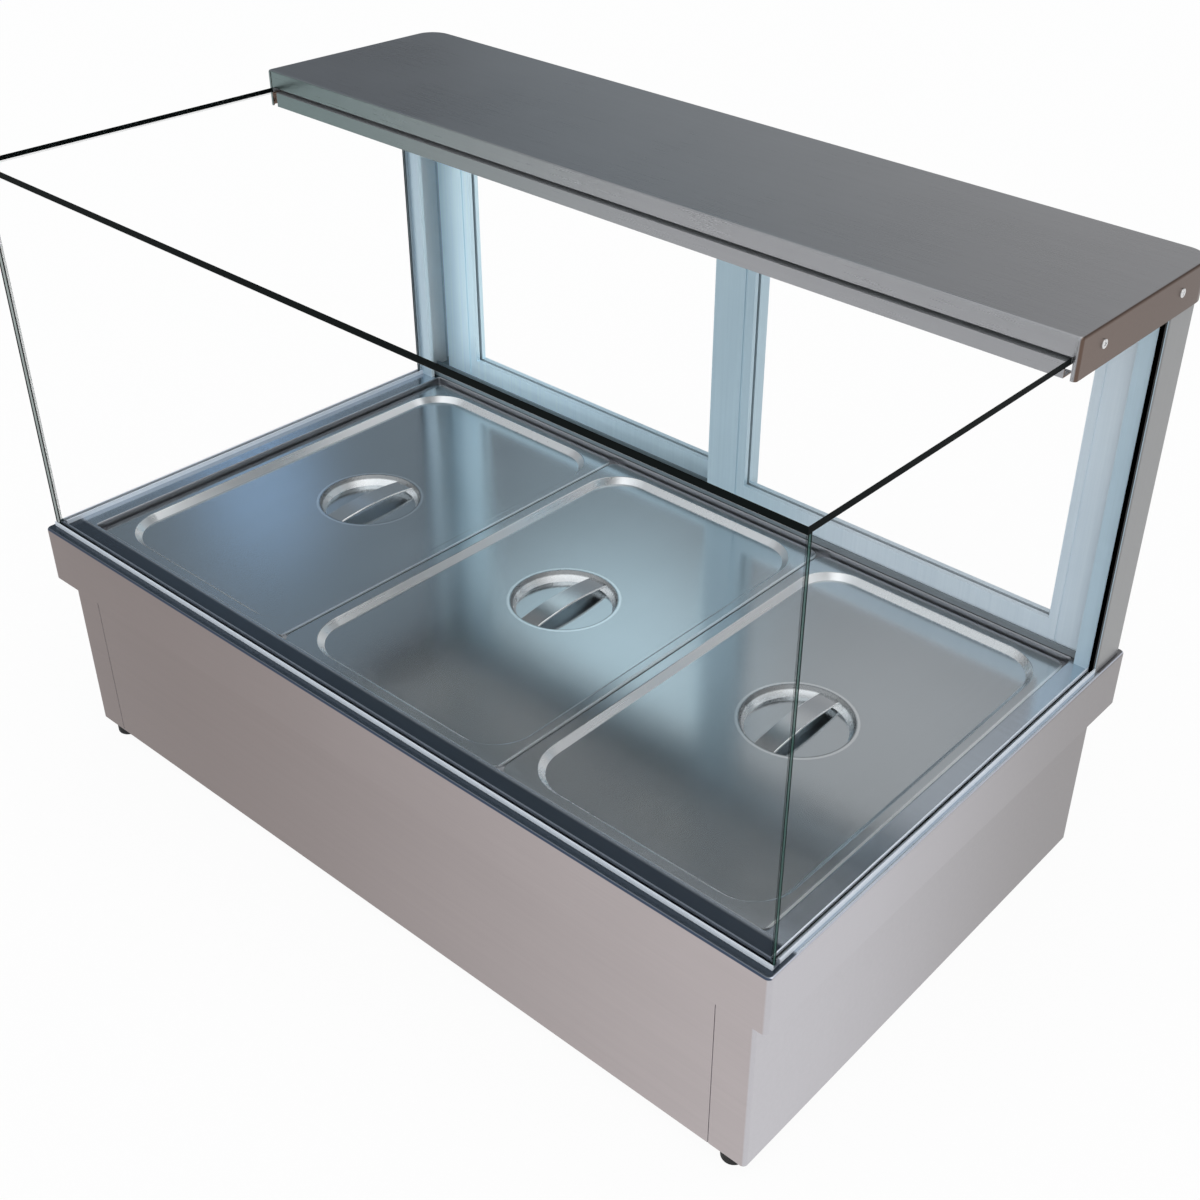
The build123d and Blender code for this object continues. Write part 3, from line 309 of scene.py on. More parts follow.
# Heated well: a folded trough with two end plates, and two bars across it between the pans. A bent
# tube element warms it from below, three straps press that to its floor, and a board of mineral wool
# lies round its walls.
# The well takes satin_steel's painted reflection too, in a nearly even grey.
well_grey = ((0.36, 0.36, 0.37), (0.40, 0.40, 0.41))
well_top = (0.40, 0.41, 0.43)
well_steel = satin_steel("well_steel", well_top, well_grey, well_grey, GRAIN_X, rough=0.40)[0]
assign(well_steel, "well_tank", "pan_bars", "element_clamps")

sheath, shader, place, facing = finish("element_sheath", Metallic=0.6)
scale_marks = noise(place, 240.0, 4.0)
feed(
    shader,
    Base_Color=mix(scale_marks, (0.07, 0.062, 0.055), (0.17, 0.15, 0.13)),
    Roughness=0.45 + 0.25 * scale_marks,
    Normal=bump(scale_marks, 0.0001),
)
assign(sheath, "heating_element")

wool, shader, place, facing = finish("mineral_wool", Sheen_Weight=0.2)
fibres = noise(place, 500.0, 5.0, (1.0, 1.0, 0.3), 0.7)
feed(
    shader,
    Base_Color=mix(fibres, (0.52, 0.46, 0.31), (0.78, 0.73, 0.58)),
    Roughness=0.85 + 0.1 * fibres,
    Normal=bump(fibres, 0.0012),
)
assign(wool, "tank_insulation")

# Food pans: deep-drawn stainless steel with a flat rim that hangs on the ledge of the well.
# Their lids are pressed from the same sheet: a rim, a step, a recessed panel and a round dish,
# with a strap across the dish to lift them by.
# Painted light on the pressed steel: a near-white painted highlight on slanted bends and along the lids'
# right and front edges, painted shade on the lids' rear steps, and a ring of painted shade and one of
# painted highlight round each dish.
PRESSED = ((0.50, 0.54, 0.56), (0.64, 0.68, 0.71))
PAINTED_HIGHLIGHT = (0.94, 0.96, 0.97)
REAR_STEP_SHADE = (0.26, 0.28, 0.29)
DISH_LIP_SHADE = (0.10, 0.11, 0.115)
RIGHT_HIGHLIGHT_BAND, FRONT_HIGHLIGHT_BAND, REAR_STEP = (0.0025, 0.0045), (0.0012, 0.0028), (0.04, 0.05)
LIP_BAND, BEAD_BAND = (-0.001, 0.0, 0.002, 0.003), (0.003, 0.004, 0.005, 0.007)


def drawn_steel(name, dark, light, rough, highlight_share, edges=None, dish=None):
    """Deep-drawn satin sheet: cloudy polish, lines from wiping it front to back, and a painted highlight on
    its bends by a share.

    edges is the box along whose right and front edges a highlight is painted and on whose rear step shade is
    painted, and dish is the middle and the radius of a pressed dish, round whose rim a ring of painted shade
    and a ring of painted highlight are laid.
    """
    material, shader, place, facing = finish(name, Metallic=1.0)
    clouds = noise(place, 5.0, 2.0, roughness=0.4)
    wiped = noise(place, 220.0, 2.0, (1.0, 0.02, 1.0))
    bend_highlight = highlight_share - highlight_share * between(abs(part_of(facing, "Z")), 0.80, 0.95)
    tint = mix(0.85 * clouds + 0.15 * wiped, dark, light)
    painted_slope = PAINTED_HIGHLIGHT
    if edges:
        low, high = edges
        to_right = high.x - part_of(place, "X")
        to_front = part_of(place, "Y") - low.y
        to_rear = high.y - part_of(place, "Y")
        edge_highlight = 1 - between(to_right, *RIGHT_HIGHLIGHT_BAND) * between(to_front, *FRONT_HIGHLIGHT_BAND)
        bend_highlight = most(bend_highlight, 0.8 * edge_highlight)
        at_rear = 1 - between(to_rear, *REAR_STEP)
        painted_slope = mix(at_rear * between(-1 * part_of(facing, "Y"), 0.62, 0.80), PAINTED_HIGHLIGHT, REAR_STEP_SHADE)
    tint = mix(bend_highlight, tint, painted_slope)
    if dish:
        middle, radius = dish
        ends = {0: place, 1: (1.0, 1.0, 0.0)}
        level = place.node("ShaderNodeVectorMath", {"operation": "MULTIPLY"}, ends)
        ends = {0: level, 1: (middle.x, middle.y, 0.0)}
        beyond = level.node("ShaderNodeVectorMath", {"operation": "DISTANCE"}, ends, "Value") - radius
        lip_shade = band(beyond, *LIP_BAND)
        bead_highlight = band(beyond, *BEAD_BAND)
        tint = mix(0.6 * bead_highlight, mix(0.75 * lip_shade, tint, DISH_LIP_SHADE), PAINTED_HIGHLIGHT)
    feed(
        shader,
        Base_Color=tint,
        Roughness=rough - 0.04 + 0.04 * clouds + 0.03 * wiped + 0.16 * bend_highlight,
        Normal=bump(wiped, 0.0000008),
    )
    return material


# The strap and the lids get a strong painted highlight on their bends, the pans a faint one.
strap_steel = drawn_steel("strap_steel", (0.62, 0.64, 0.65), (0.78, 0.79, 0.80), rough=0.20, highlight_share=0.7)
for pan in ("left", "middle", "right"):
    low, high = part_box(f"{pan}_lid_handle")
    dish = ((low + high) / 2, (high.y - low.y) / 2)
    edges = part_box(f"{pan}_lid")
    lid_steel = drawn_steel(f"{pan}_lid_steel", *PRESSED, rough=0.17, highlight_share=0.7, edges=edges, dish=dish)
    assign(lid_steel, f"{pan}_lid")
    assign(strap_steel, f"{pan}_lid_handle")
pan_steel = drawn_steel("pan_steel", *PRESSED, rough=0.22, highlight_share=0.2)
assign(pan_steel, "left_pan", "middle_pan", "right_pan")

# Glazing channels: bright anodised aluminium, extruded as a shallow U and bonded along the deck.
# The lower edges of the front and end panes stand in them.
channel, shader, place, facing = finish("channel_aluminium", Metallic=0.2)
drawn = noise(place, 700.0, 2.0, (0.02, 0.02, 1.0))
# Painted shade: the part of each channel under and behind the pane, with its inner leg, is dark.
LEG_GAP, LEG_FADE = 0.003, 0.002
pane_front, pane_rear = (corner.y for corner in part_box("front_glass"))
leg_end = pane_rear + LEG_GAP
inner_leg_shade = band(part_of(place, "Y"), pane_front, pane_front + LEG_FADE, leg_end, leg_end + LEG_FADE)
feed(
    shader,
    Base_Color=mix(inner_leg_shade, mix(drawn, (0.72, 0.79, 0.88), (0.84, 0.90, 0.97)), (0.16, 0.19, 0.23)),
    Roughness=0.36 + 0.14 * drawn,
    Normal=bump(drawn, 0.00003),
)
assign(channel, "front_glass_channel", "left_glass_channel", "right_glass_channel")

# Display glass: clear float glass 5 mm thick with ground edges, bonded edge to edge at the corners.
# The edges are dark and green, because light that runs along inside the sheet is lost there.
DARK_EDGE = (0.004, 0.006, 0.006)
GREEN_EDGE = (0.05, 0.13, 0.11)
BED_GREY = (0.26, 0.27, 0.28)
BED_FADE = 0.0005
FULL_MIRROR, MIRROR_FROM = 0.4, 0.72


def float_glass(node, axis, rim, cover, joint=0.0, bed=None, far=1.0):
    """Clear pane, thin along one axis: it mirrors more the flatter it is seen.

    Its edges are dark for a rim from each face and green between, where cover hides what is behind.
    joint is the height of the dark bond along its top, and from bed to the rear it lies in grey sealant.
    far is the share of the cover on its left and top edges.
    """
    low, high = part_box(node)
    number = "XYZ".index(axis)
    middle = (low[number] + high[number]) / 2
    half = (high[number] - low[number]) / 2
    material, shader, place, facing = finish(f"{node}_float", Specular_IOR_Level=0.02)
    across = 1 - between(abs(part_of(facing, axis)), 0.3, 0.7)
    off_middle = abs(part_of(place, axis) - middle)
    dark = between(off_middle, half - rim, half - 0.5 * rim)
    left, up = -1 * part_of(facing, "X"), part_of(facing, "Z")
    far_edge = between(most(left, up), 0.3, 0.7)
    hidden = across * (cover + (1 - cover) * dark) * (1 - (1 - far) * far_edge)
    if joint:
        bond = between(part_of(place, "Z"), high.z - joint, high.z - 0.8 * joint)
        dark = most(dark, bond)
        across = most(across, bond)
        hidden = most(hidden, bond)
    edge = mix(dark, GREEN_EDGE, DARK_EDGE)
    if bed:
        bedded = between(part_of(place, "Y"), bed, bed + BED_FADE)
        across = most(across, bedded)
        hidden = most(hidden, bedded)
        edge = mix(bedded, edge, BED_GREY)
    slant = place.node("ShaderNodeLayerWeight", {}, {"Blend": 0.5}, "Facing")
    mirrored = FULL_MIRROR * between(slant, MIRROR_FROM, 1.0)
    streaks = noise(place, 220.0, 3.0)
    feed(
        shader,
        Base_Color=mix(across, (1.0, 1.0, 1.0), edge),
        Metallic=1 - across,
        Roughness=across * (0.35 + 0.2 * streaks),
        Alpha=mirrored + hidden * (1 - mirrored),
    )
    assign(material, node)


float_glass("top_glass", "Z", rim=0.010, cover=1.0, bed=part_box("hood_shell")[0].y, far=0.25)
float_glass("front_glass", "Y", rim=0.0018, cover=0.7, joint=0.0025)
float_glass("left_end_glass", "X", rim=0.0018, cover=0.7, far=0.25)
float_glass("right_end_glass", "X", rim=0.0018, cover=0.5, joint=0.0015)

# Posts: folded satin steel channels that stand on the rear of the deck and carry the hood. A black rubber
# strip seals each end pane to its post; the left one is painted pale grey-blue, as painted light for the
# lids to mirror.
# Painted reflection on the posts: bluish on faces to the front, dark on their ends and grey on faces to the
# rear. Painted light makes the inside of the left post's channel pale.
post_front = [(0.50, 0.64, 0.73)] * 2
post_end = [(0.24, 0.243, 0.247)] * 2
post_top, post_rear, post_inside_light = (0.36, 0.40, 0.44), (0.52, 0.53, 0.54), (0.86, 0.96, 1.0)
for side in ("left", "right"):
    post_steel, shader, place, facing, tint, shade = satin_steel(
        f"{side}_post_steel", post_top, post_front, post_end, GRAIN_Z, rough=0.28, metal=0.3
    )
    tint = mix(looks_along(facing, "Y"), tint, post_rear)
    if side == "left":
        tint = mix(looks_along(facing, "X"), tint, post_inside_light)
    feed(shader, Base_Color=mix(1.0, tint, shade, "MULTIPLY"))
    assign(post_steel, f"{side}_post")
seal, shader, place, facing = finish("seal_rubber", Specular_IOR_Level=0.3)
dust = noise(place, 90.0, 5.0)
# Painted light: the left seal is pale grey-blue in place of black.
on_left = 1 - between(part_of(place, "X"), -0.01, 0.01)
black = mix(dust, (0.008, 0.008, 0.009), (0.024, 0.023, 0.022))
feed(
    shader,
    Base_Color=mix(on_left, black, (0.40, 0.49, 0.55)),
    Roughness=0.55 + 0.3 * dust,
    Normal=bump(dust, 0.0001),
)
assign(seal, "post_seals")

# Hood: a shell of folded satin sheet with rounded rear corners, and a fascia along its front with a
# slot for the top pane. A bracket inside each end takes the screws.
# Painted reflection on the hood: its front is darker at the left and lighter from the middle on, and its
# ends are a brown that is darker at the rear. Painted light makes its underside pale grey.
hood_top = (0.40, 0.40, 0.41)
hood_front = ((0.155, 0.205, 0.205), (0.325, 0.33, 0.345))
hood_end = ((0.20, 0.145, 0.12), (0.10, 0.065, 0.05))
HOOD_FADE = (cad_box[0].x, 0.15)
hood_steel = satin_steel(
    "hood_steel", hood_top, hood_front, hood_end, GRAIN_X, rough=0.27, under=0.62, fade=HOOD_FADE
)[0]
assign(hood_steel, "hood_shell", "hood_fascia", "left_hood_bracket", "right_hood_bracket")

# Screws of the hood and the rear panel: plated steel, with low domed heads and a cross recess.
# Two hold each end of the hood to its bracket, and four hold the rear panel to the cabinet.
SIDES = 32
SHARP_ANGLE = radians(35.0)
DOME_STEPS, DOME_SPREAD = 6, 1.6
CROSS_REACH, CROSS_HALF, CROSS_FLOOR, CROSS_TAPER = 0.29, 0.055, 0.3, 0.8


def circle(built, turn, radius, level):
    """Add a round loop of points about turn's Z."""
    angles = [2 * pi * i / SIDES for i in range(SIDES)]
    return [built.verts.new(turn @ Vector((radius * cos(a), radius * sin(a), level))) for a in angles]


def wall(built, one, other):
    """Join two closed loops of points by a strip of faces."""
    for i in range(len(one)):
        j = (i + 1) % len(one)
        built.faces.new((one[i], one[j], other[j], other[i]))


def edges_of(built, loop):
    """Edges along a closed loop of points."""
    return [built.edges.get(pair) for pair in zip(loop, loop[1:] + loop[:1])]


def screw(built, turn, head_d, head_h, shank_d, shank_l):
    """Add one screw: the seat of its head is at turn's origin, and it looks along turn's Z."""
    round_off = 0.5 * head_h
    rings = [(shank_d / 2, -shank_l), (shank_d / 2, 0.0), (head_d / 2, 0.0)]
    for step in range(DOME_STEPS):
        swing = pi / 2 * step / (DOME_STEPS - 1)
        radius = head_d / 2 - DOME_SPREAD * round_off * (1 - cos(swing))
        rings.append((radius, head_h - round_off * (1 - sin(swing))))
    loops = [circle(built, turn, radius, level) for radius, level in rings]
    for lower, upper in zip(loops, loops[1:]):
        wall(built, lower, upper)
    built.faces.new(reversed(loops[0]))
    reach, half = CROSS_REACH * head_d, CROSS_HALF * head_d
    arm = [(reach, -half), (reach, half), (half, half)]
    quarters = ((1, 0), (0, 1), (-1, 0), (0, -1))
    cross = [(x * c - y * s, x * s + y * c) for c, s in quarters for x, y in arm]
    mouth = [built.verts.new(turn @ Vector((x, y, head_h))) for x, y in cross]
    floor_level = CROSS_FLOOR * head_h
    tapered = [Vector((CROSS_TAPER * x, CROSS_TAPER * y, floor_level)) for x, y in cross]
    bottom = [built.verts.new(turn @ corner) for corner in tapered]
    wall(built, mouth, bottom)
    built.faces.new(bottom)
    rim = edges_of(built, loops[-1]) + edges_of(built, mouth)
    bmesh.ops.triangle_fill(built, edges=rim, use_beauty=True)


def piece_of(name, built, material, body):
    """Turn a finished mesh into a piece that rides on a body."""
    bmesh.ops.recalc_face_normals(built, faces=built.faces)
    mesh = bpy.data.meshes.new(name)
    built.to_mesh(mesh)
    built.free()
    for face in mesh.polygons:
        face.use_smooth = True
    mesh.set_sharp_from_angle(angle=SHARP_ANGLE)
    mesh.materials.append(material)
    piece = bpy.data.objects.new(name, mesh)
    bpy.context.collection.objects.link(piece)
    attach(piece, body)
    return piece


HOOD_HEAD_D, HOOD_HEAD_H, SHANK_D = 0.009, 0.0018, 0.004
HOOD_TWIST, HOOD_TWIST_STEP = 25.0, 40.0
low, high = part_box("hood_screws")
inner = min(vertex.co.x for vertex in frame["nodes"]["hood_screws"].data.vertices if vertex.co.x > 0)
seat = high.x - HOOD_HEAD_H
built = bmesh.new()
for number, y in enumerate((low.y + HOOD_HEAD_D / 2, high.y - HOOD_HEAD_D / 2)):
    for side in (-1, 1):
        spot = Matrix.Translation((side * seat, y, (low.z + high.z) / 2))
        turn = spot @ Matrix.Rotation(side * pi / 2, 4, "Y")
        spun = turn @ Matrix.Rotation(radians(HOOD_TWIST + HOOD_TWIST_STEP * number), 4, "Z")
        screw(built, spun, HOOD_HEAD_D, HOOD_HEAD_H, SHANK_D, seat - inner)
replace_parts(piece_of("hood_cross_screws", built, plated, "base"), "hood_screws")

PANEL_HEAD_D, PANEL_HEAD_H = 0.008, 0.0022
PANEL_TWIST, PANEL_TWIST_STEP, PANEL_TWIST_RISE = 10.0, 55.0, 30.0
low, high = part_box("rear_panel_screws")
seat = high.y - PANEL_HEAD_H
built = bmesh.new()
for number, x in enumerate((low.x + PANEL_HEAD_D / 2, high.x - PANEL_HEAD_D / 2)):
    for z in (low.z + PANEL_HEAD_D / 2, high.z - PANEL_HEAD_D / 2):
        turn = Matrix.Translation((x, seat, z)) @ Matrix.Rotation(-pi / 2, 4, "X")
        twist = radians(PANEL_TWIST + PANEL_TWIST_STEP * number) + PANEL_TWIST_RISE * z
        spun = turn @ Matrix.Rotation(twist, 4, "Z")
        screw(built, spun, PANEL_HEAD_D, PANEL_HEAD_H, SHANK_D, seat - low.y)
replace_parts(piece_of("panel_cross_screws", built, plated, "base"), "rear_panel_screws")

# Heat lamps: two quartz tubes in a row, each with a coil of tungsten inside, in ceramic holders that
# hang from a bright folded tray in the hood. A wire grille guards them.
# The tray takes satin_steel's painted reflection: a lighter top, greyer sides and a pale underside.
tray_grey = [(0.40, 0.40, 0.40)] * 2
tray_top = (0.50, 0.50, 0.50)
tray_steel = satin_steel("tray_steel", tray_top, tray_grey, tray_grey, GRAIN_X, rough=0.22, under=0.55)[0]
assign(tray_steel, "lamp_tray", "lamp_guard")
quartz, shader, place, facing = finish("quartz_tube", Roughness=0.05, IOR=1.46, Transmission_Weight=0.85)
frost = noise(place, 300.0, 4.0)
feed(shader, Base_Color=mix(frost, (0.90, 0.87, 0.82), (0.98, 0.97, 0.95)), Normal=bump(frost, 0.0001))
assign(quartz, "heat_lamps")
tungsten, shader, place, facing = finish("tungsten", Metallic=0.9)
oxide = noise(place, 900.0, 3.0)
feed(
    shader,
    Base_Color=mix(oxide, (0.16, 0.15, 0.15), (0.34, 0.32, 0.30)),
    Roughness=0.35 + 0.2 * oxide,
    Normal=bump(oxide, 0.00003),
)
COIL_R, COIL_PITCH, COIL_END, COIL_STEPS = 0.0014, 0.004, 0.02, 12
WIRE_R, WIRE_SIDES = 0.0003, 5
along = Vector((1.0, 0.0, 0.0))
angles = [2 * pi * i / WIRE_SIDES for i in range(WIRE_SIDES)]
low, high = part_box("heat_lamps")
lamp_y, lamp_z = (low.y + high.y) / 2, (low.z + high.z) / 2
inner = min(vertex.co.x for vertex in frame["nodes"]["heat_lamps"].data.vertices if vertex.co.x > 0)
coil_l = high.x - inner - 2 * COIL_END
built = bmesh.new()
for start in (inner + COIL_END, -high.x + COIL_END):
    rings = []
    for step in range(int(coil_l / COIL_PITCH) * COIL_STEPS + 1):
        swing = 2 * pi * step / COIL_STEPS
        out = Vector((0.0, cos(swing), sin(swing)))
        core = Vector((start + COIL_PITCH * step / COIL_STEPS, lamp_y, lamp_z)) + COIL_R * out
        rings.append([built.verts.new(core + WIRE_R * (cos(a) * out + sin(a) * along)) for a in angles])
    for one, other in zip(rings, rings[1:]):
        wall(built, one, other)
    built.faces.new(rings[0])
    built.faces.new(rings[-1])
piece_of("lamp_filaments", built, tungsten, "base")
ceramic, shader, place, facing = finish("ceramic")
specks = noise(place, 700.0, 4.0)
feed(
    shader,
    Base_Color=mix(specks, (0.72, 0.68, 0.58), (0.86, 0.83, 0.76)),
    Roughness=0.45 + 0.2 * specks,
    Normal=bump(specks, 0.0001),
)
assign(ceramic, "lamp_holders")

# Sliding doors: clear panes in extruded anodised aluminium frames, which run on nylon glides in two
# grooves of a track on the deck and hang into another under the hood.
# Painted light and shade on the door frames and tracks, by place along X and on the faces to the rear.
LEFT_TO_MIDDLE, MIDDLE_TO_RIGHT = (-0.4, -0.05), (0.03, 0.22)
LEFT_PAINTED_LIGHT, MIDDLE_PAINTED_SHADE, RIGHT_PAINTED_LIGHT = (1.08, 1.24, 1.30), (0.76, 0.87, 0.90), (1.0, 1.0, 1.0)
REAR_PAINTED_SHADE = (0.94, 0.83, 0.77)


def drawn_aluminium(name, dark, light, grain, rough):
    """Anodised extrusion: broad and fine die lines along its length, with painted light and shade for its
    place.

    Painted light makes it brighter and cooler towards the left, and painted shade makes it darker at the
    middle and greyer on the faces that look to the rear.
    """
    material, shader, place, facing = finish(name, Metallic=0.25)
    die_lines = noise(place, 260.0, 3.0, grain)
    fine_lines = noise(place, 1100.0, 2.0, grain)
    patches = noise(place, 9.0, 3.0)
    x = part_of(place, "X")
    painted_light = mix(between(x, *LEFT_TO_MIDDLE), LEFT_PAINTED_LIGHT, MIDDLE_PAINTED_SHADE)
    painted_light = mix(between(x, *MIDDLE_TO_RIGHT), painted_light, RIGHT_PAINTED_LIGHT)
    painted_light = mix(looks_along(facing, "Y"), painted_light, REAR_PAINTED_SHADE)
    tint = mix(0.45 * die_lines + 0.25 * fine_lines + 0.3 * patches, dark, light)
    feed(
        shader,
        Base_Color=mix(1.0, tint, painted_light, "MULTIPLY"),
        Roughness=rough - 0.05 + 0.12 * die_lines + 0.06 * patches,
        Normal=bump(0.7 * die_lines + 0.3 * fine_lines, 0.00006),
    )
    return material


door_tints = ((0.55, 0.66, 0.75), (0.82, 0.91, 0.97))
door_aluminium = drawn_aluminium("door_aluminium", *door_tints, GRAIN_Z, rough=0.30)
assign(door_aluminium, "left_door_frame", "right_door_frame")
track_tints = ((0.14, 0.17, 0.19), (0.28, 0.31, 0.33))
track_aluminium = drawn_aluminium("track_aluminium", *track_tints, GRAIN_X, rough=0.34)
assign(track_aluminium, "bottom_door_track", "top_door_track")
for side in ("left", "right"):
    float_glass(f"{side}_door_glass", "Y", rim=0.0015, cover=0.8)
nylon, shader, place, facing = finish("white_nylon", Subsurface_Weight=0.1)
moulding = noise(place, 260.0, 4.0)
feed(
    shader,
    Base_Color=mix(moulding, (0.70, 0.70, 0.66), (0.84, 0.84, 0.81)),
    Roughness=0.42 + 0.16 * moulding,
    Normal=bump(moulding, 0.0001),
)
assign(nylon, "left_door_glides", "right_door_glides")

# Controls: a steel plate on the operator's side with a thermostat knob, a pilot lamp and two rocker
# switches, moulded in black plastic. The gland for the supply lead is beside it, and the terminal
# block is inside.
assign(cabinet_steel, "control_plate")
assign(nylon, "terminal_block")
plastic, shader, place, facing = finish("black_plastic")
spark = noise(place, 1400.0, 3.0)
handled = noise(place, 60.0, 4.0)
feed(
    shader,
    Base_Color=mix(handled, (0.010, 0.010, 0.011), (0.030, 0.030, 0.031)),
    Roughness=0.28 + 0.2 * handled + 0.08 * spark,
    Normal=bump(spark, 0.00005),
)
assign(plastic, "thermostat_body", "thermostat_knob", "cable_gland")
assign(plastic, "switch_housings", "heat_rocker", "lamp_rocker")
assign(plated, "thermostat_shaft")
amber, shader, place, facing = finish("amber_lens", Roughness=0.08, IOR=1.49, Transmission_Weight=0.6)
prisms = noise(place, 900.0, 2.0)
feed(shader, Base_Color=mix(prisms, (0.60, 0.16, 0.01), (0.90, 0.34, 0.03)), Normal=bump(prisms, 0.0003))
assign(amber, "pilot_lamp")

# Dial and marks: black print on the plate round the knob, numbered from 0, and white marks printed
# on the knob's grip and the rockers.
PRINT_H = 0.0001
DIAL_STEPS = 6
ARC_STEPS = 6


def seen_from_rear(spot, out=Vector((0.0, 1.0, 0.0))):
    """Place on a face that looks out to the operator, with its X to the operator's right."""
    across = Vector((-1.0, 0.0, 0.0))
    turn = Matrix((across, out.cross(across), out)).transposed().to_4x4()
    return Matrix.Translation(spot) @ turn


def prism(built, turn, outline):
    """Add a flat plate of an outline, as high as the print."""
    lower = [built.verts.new(turn @ Vector((x, y, 0.0))) for x, y in outline]
    upper = [built.verts.new(turn @ Vector((x, y, PRINT_H))) for x, y in outline]
    wall(built, lower, upper)
    built.faces.new(lower)
    built.faces.new(upper)


def stroke(built, turn, length, width):
    """Add a bar with round ends along turn's Y, as high as the print."""
    arc = [pi * i / ARC_STEPS for i in range(ARC_STEPS + 1)]
    straight = (length - width) / 2
    outline = [(width / 2 * cos(a), straight + width / 2 * sin(a)) for a in arc]
    outline += [(-x, -y) for x, y in outline]
    prism(built, turn, outline)


def ring(built, turn, radius, width):
    """Add a flat ring about turn's Z, as high as the print."""
    inside = radius - width
    section = ((radius, 0.0), (radius, PRINT_H), (inside, PRINT_H), (inside, 0.0))
    loops = [circle(built, turn, r, level) for r, level in section]
    for one, other in zip(loops, loops[1:] + loops[:1]):
        wall(built, one, other)


def figure(built, turn, words, size):
    """Add printed characters, centred on turn's origin."""
    curve = bpy.data.curves.new("figure", "FONT")
    curve.body = words
    curve.size = size
    curve.align_x = "CENTER"
    curve.align_y = "CENTER"
    curve.extrude = PRINT_H / 2
    holder = bpy.data.objects.new("figure", curve)
    mesh = bpy.data.meshes.new_from_object(holder)
    mesh.transform(turn @ Matrix.Translation((0.0, 0.0, PRINT_H / 2)))
    built.from_mesh(mesh)
    bpy.data.objects.remove(holder)
    bpy.data.curves.remove(curve)
    bpy.data.meshes.remove(mesh)


def ink(name, dark, light):
    """Screen print: slightly uneven cover."""
    material, shader, place, facing = finish(name, Specular_IOR_Level=0.3)
    cover = noise(place, 2200.0, 3.0)
    feed(
        shader,
        Base_Color=mix(cover, dark, light),
        Roughness=0.45 + 0.2 * cover,
        Normal=bump(cover, 0.00001),
    )
    return material


black_ink = ink("black_ink", (0.010, 0.010, 0.011), (0.030, 0.030, 0.030))
white_ink = ink("white_ink", (0.70, 0.70, 0.69), (0.86, 0.86, 0.85))
low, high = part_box("thermostat_knob")
knob_r = (high.x - low.x) / 2
dial = Vector(((low.x + high.x) / 2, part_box("control_plate")[1].y, (low.z + high.z) / 2))
turning = next(joint for joint in frame["joints"] if joint["name"] == "thermostat_turn")
full_turn = radians(turning["range_deg"][1])
TICK_GAP, TICK_L, SHORT_TICK_L, TICK_W = 0.002, 0.004, 0.0025, 0.0008
FIGURE_GAP, FIGURE_H = 0.004, 0.0062
built = bmesh.new()
face = seen_from_rear(dial)
for step in range(2 * DIAL_STEPS + 1):
    length = SHORT_TICK_L if step % 2 else TICK_L
    swung = face @ Matrix.Rotation(-full_turn * step / (2 * DIAL_STEPS), 4, "Z")
    stroke(built, swung @ Matrix.Translation((0.0, knob_r + TICK_GAP + length / 2, 0.0)), length, TICK_W)
    if step % 2 == 0:
        spot = swung @ Vector((0.0, knob_r + TICK_GAP + TICK_L + FIGURE_GAP, 0.0))
        figure(built, seen_from_rear(spot), str(step // 2), FIGURE_H)
piece_of("dial_print", built, black_ink, "base")

POINTER_L, POINTER_W, POINTER_IN = 0.013, 0.0018, 0.0035
built = bmesh.new()
tip = Vector((dial.x, high.y, high.z - POINTER_IN - POINTER_L / 2))
stroke(built, seen_from_rear(tip), POINTER_L, POINTER_W)
piece_of("knob_pointer", built, white_ink, "knob")

MARK_UP, MARK_L, MARK_W, MARK_R = 0.0055, 0.0045, 0.0009, 0.0024
RAY_FROM = 0.01
for name, body in (("heat_rocker", "heat_switch"), ("lamp_rocker", "lamp_switch")):
    low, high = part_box(name)
    built = bmesh.new()
    for up in (-MARK_UP, MARK_UP):
        above = Vector(((low.x + high.x) / 2, high.y + RAY_FROM, (low.z + high.z) / 2 + up))
        spot, out = frame["nodes"][name].ray_cast(above, Vector((0.0, -1.0, 0.0)))[1:3]
        if up > 0:
            ring(built, seen_from_rear(spot, out), MARK_R, MARK_W)
        else:
            stroke(built, seen_from_rear(spot, out), MARK_L, MARK_W)
    piece_of(f"{name}_marks", built, white_ink, body)

# Stage: a wide pale floor that the camera, metal and glass see as white, with the soft shadow of the
# cabinet on it.
FLOOR_HALF, PAPER_GLOW = 30.0, 0.94
floor_mesh = bpy.data.meshes.new("floor")
quarters = ((-1, -1), (1, -1), (1, 1), (-1, 1))
corners = [(FLOOR_HALF * x, FLOOR_HALF * y, 0.0) for x, y in quarters]
floor_mesh.from_pydata(corners, [], [(0, 1, 2, 3)])
floor = bpy.data.objects.new("floor", floor_mesh)
bpy.context.collection.objects.link(floor)
paper, shader, place, facing = finish("white_paper", Base_Color=(0.90, 0.90, 0.90, 1.0), Roughness=1.0)
tree = paper.node_tree
ray = tree.nodes.new("ShaderNodeLightPath")
seen = Value(tree, ray.outputs["Is Camera Ray"])
for kind in ("Is Glossy Ray", "Is Transmission Ray"):
    seen = most(seen, Value(tree, ray.outputs[kind]))
glow = seen.node("ShaderNodeEmission", {}, {"Color": (1.0, 1.0, 1.0, 1.0), "Strength": 1.0})
matt = Value(tree, shader.outputs["BSDF"])
white = seen.node("ShaderNodeMixShader", {}, {0: PAPER_GLOW * seen, 1: matt, 2: glow})
tree.links.new(white.socket, tree.nodes["Material Output"].inputs["Surface"])
paper.cycles.emission_sampling = "NONE"
floor_mesh.materials.append(paper)

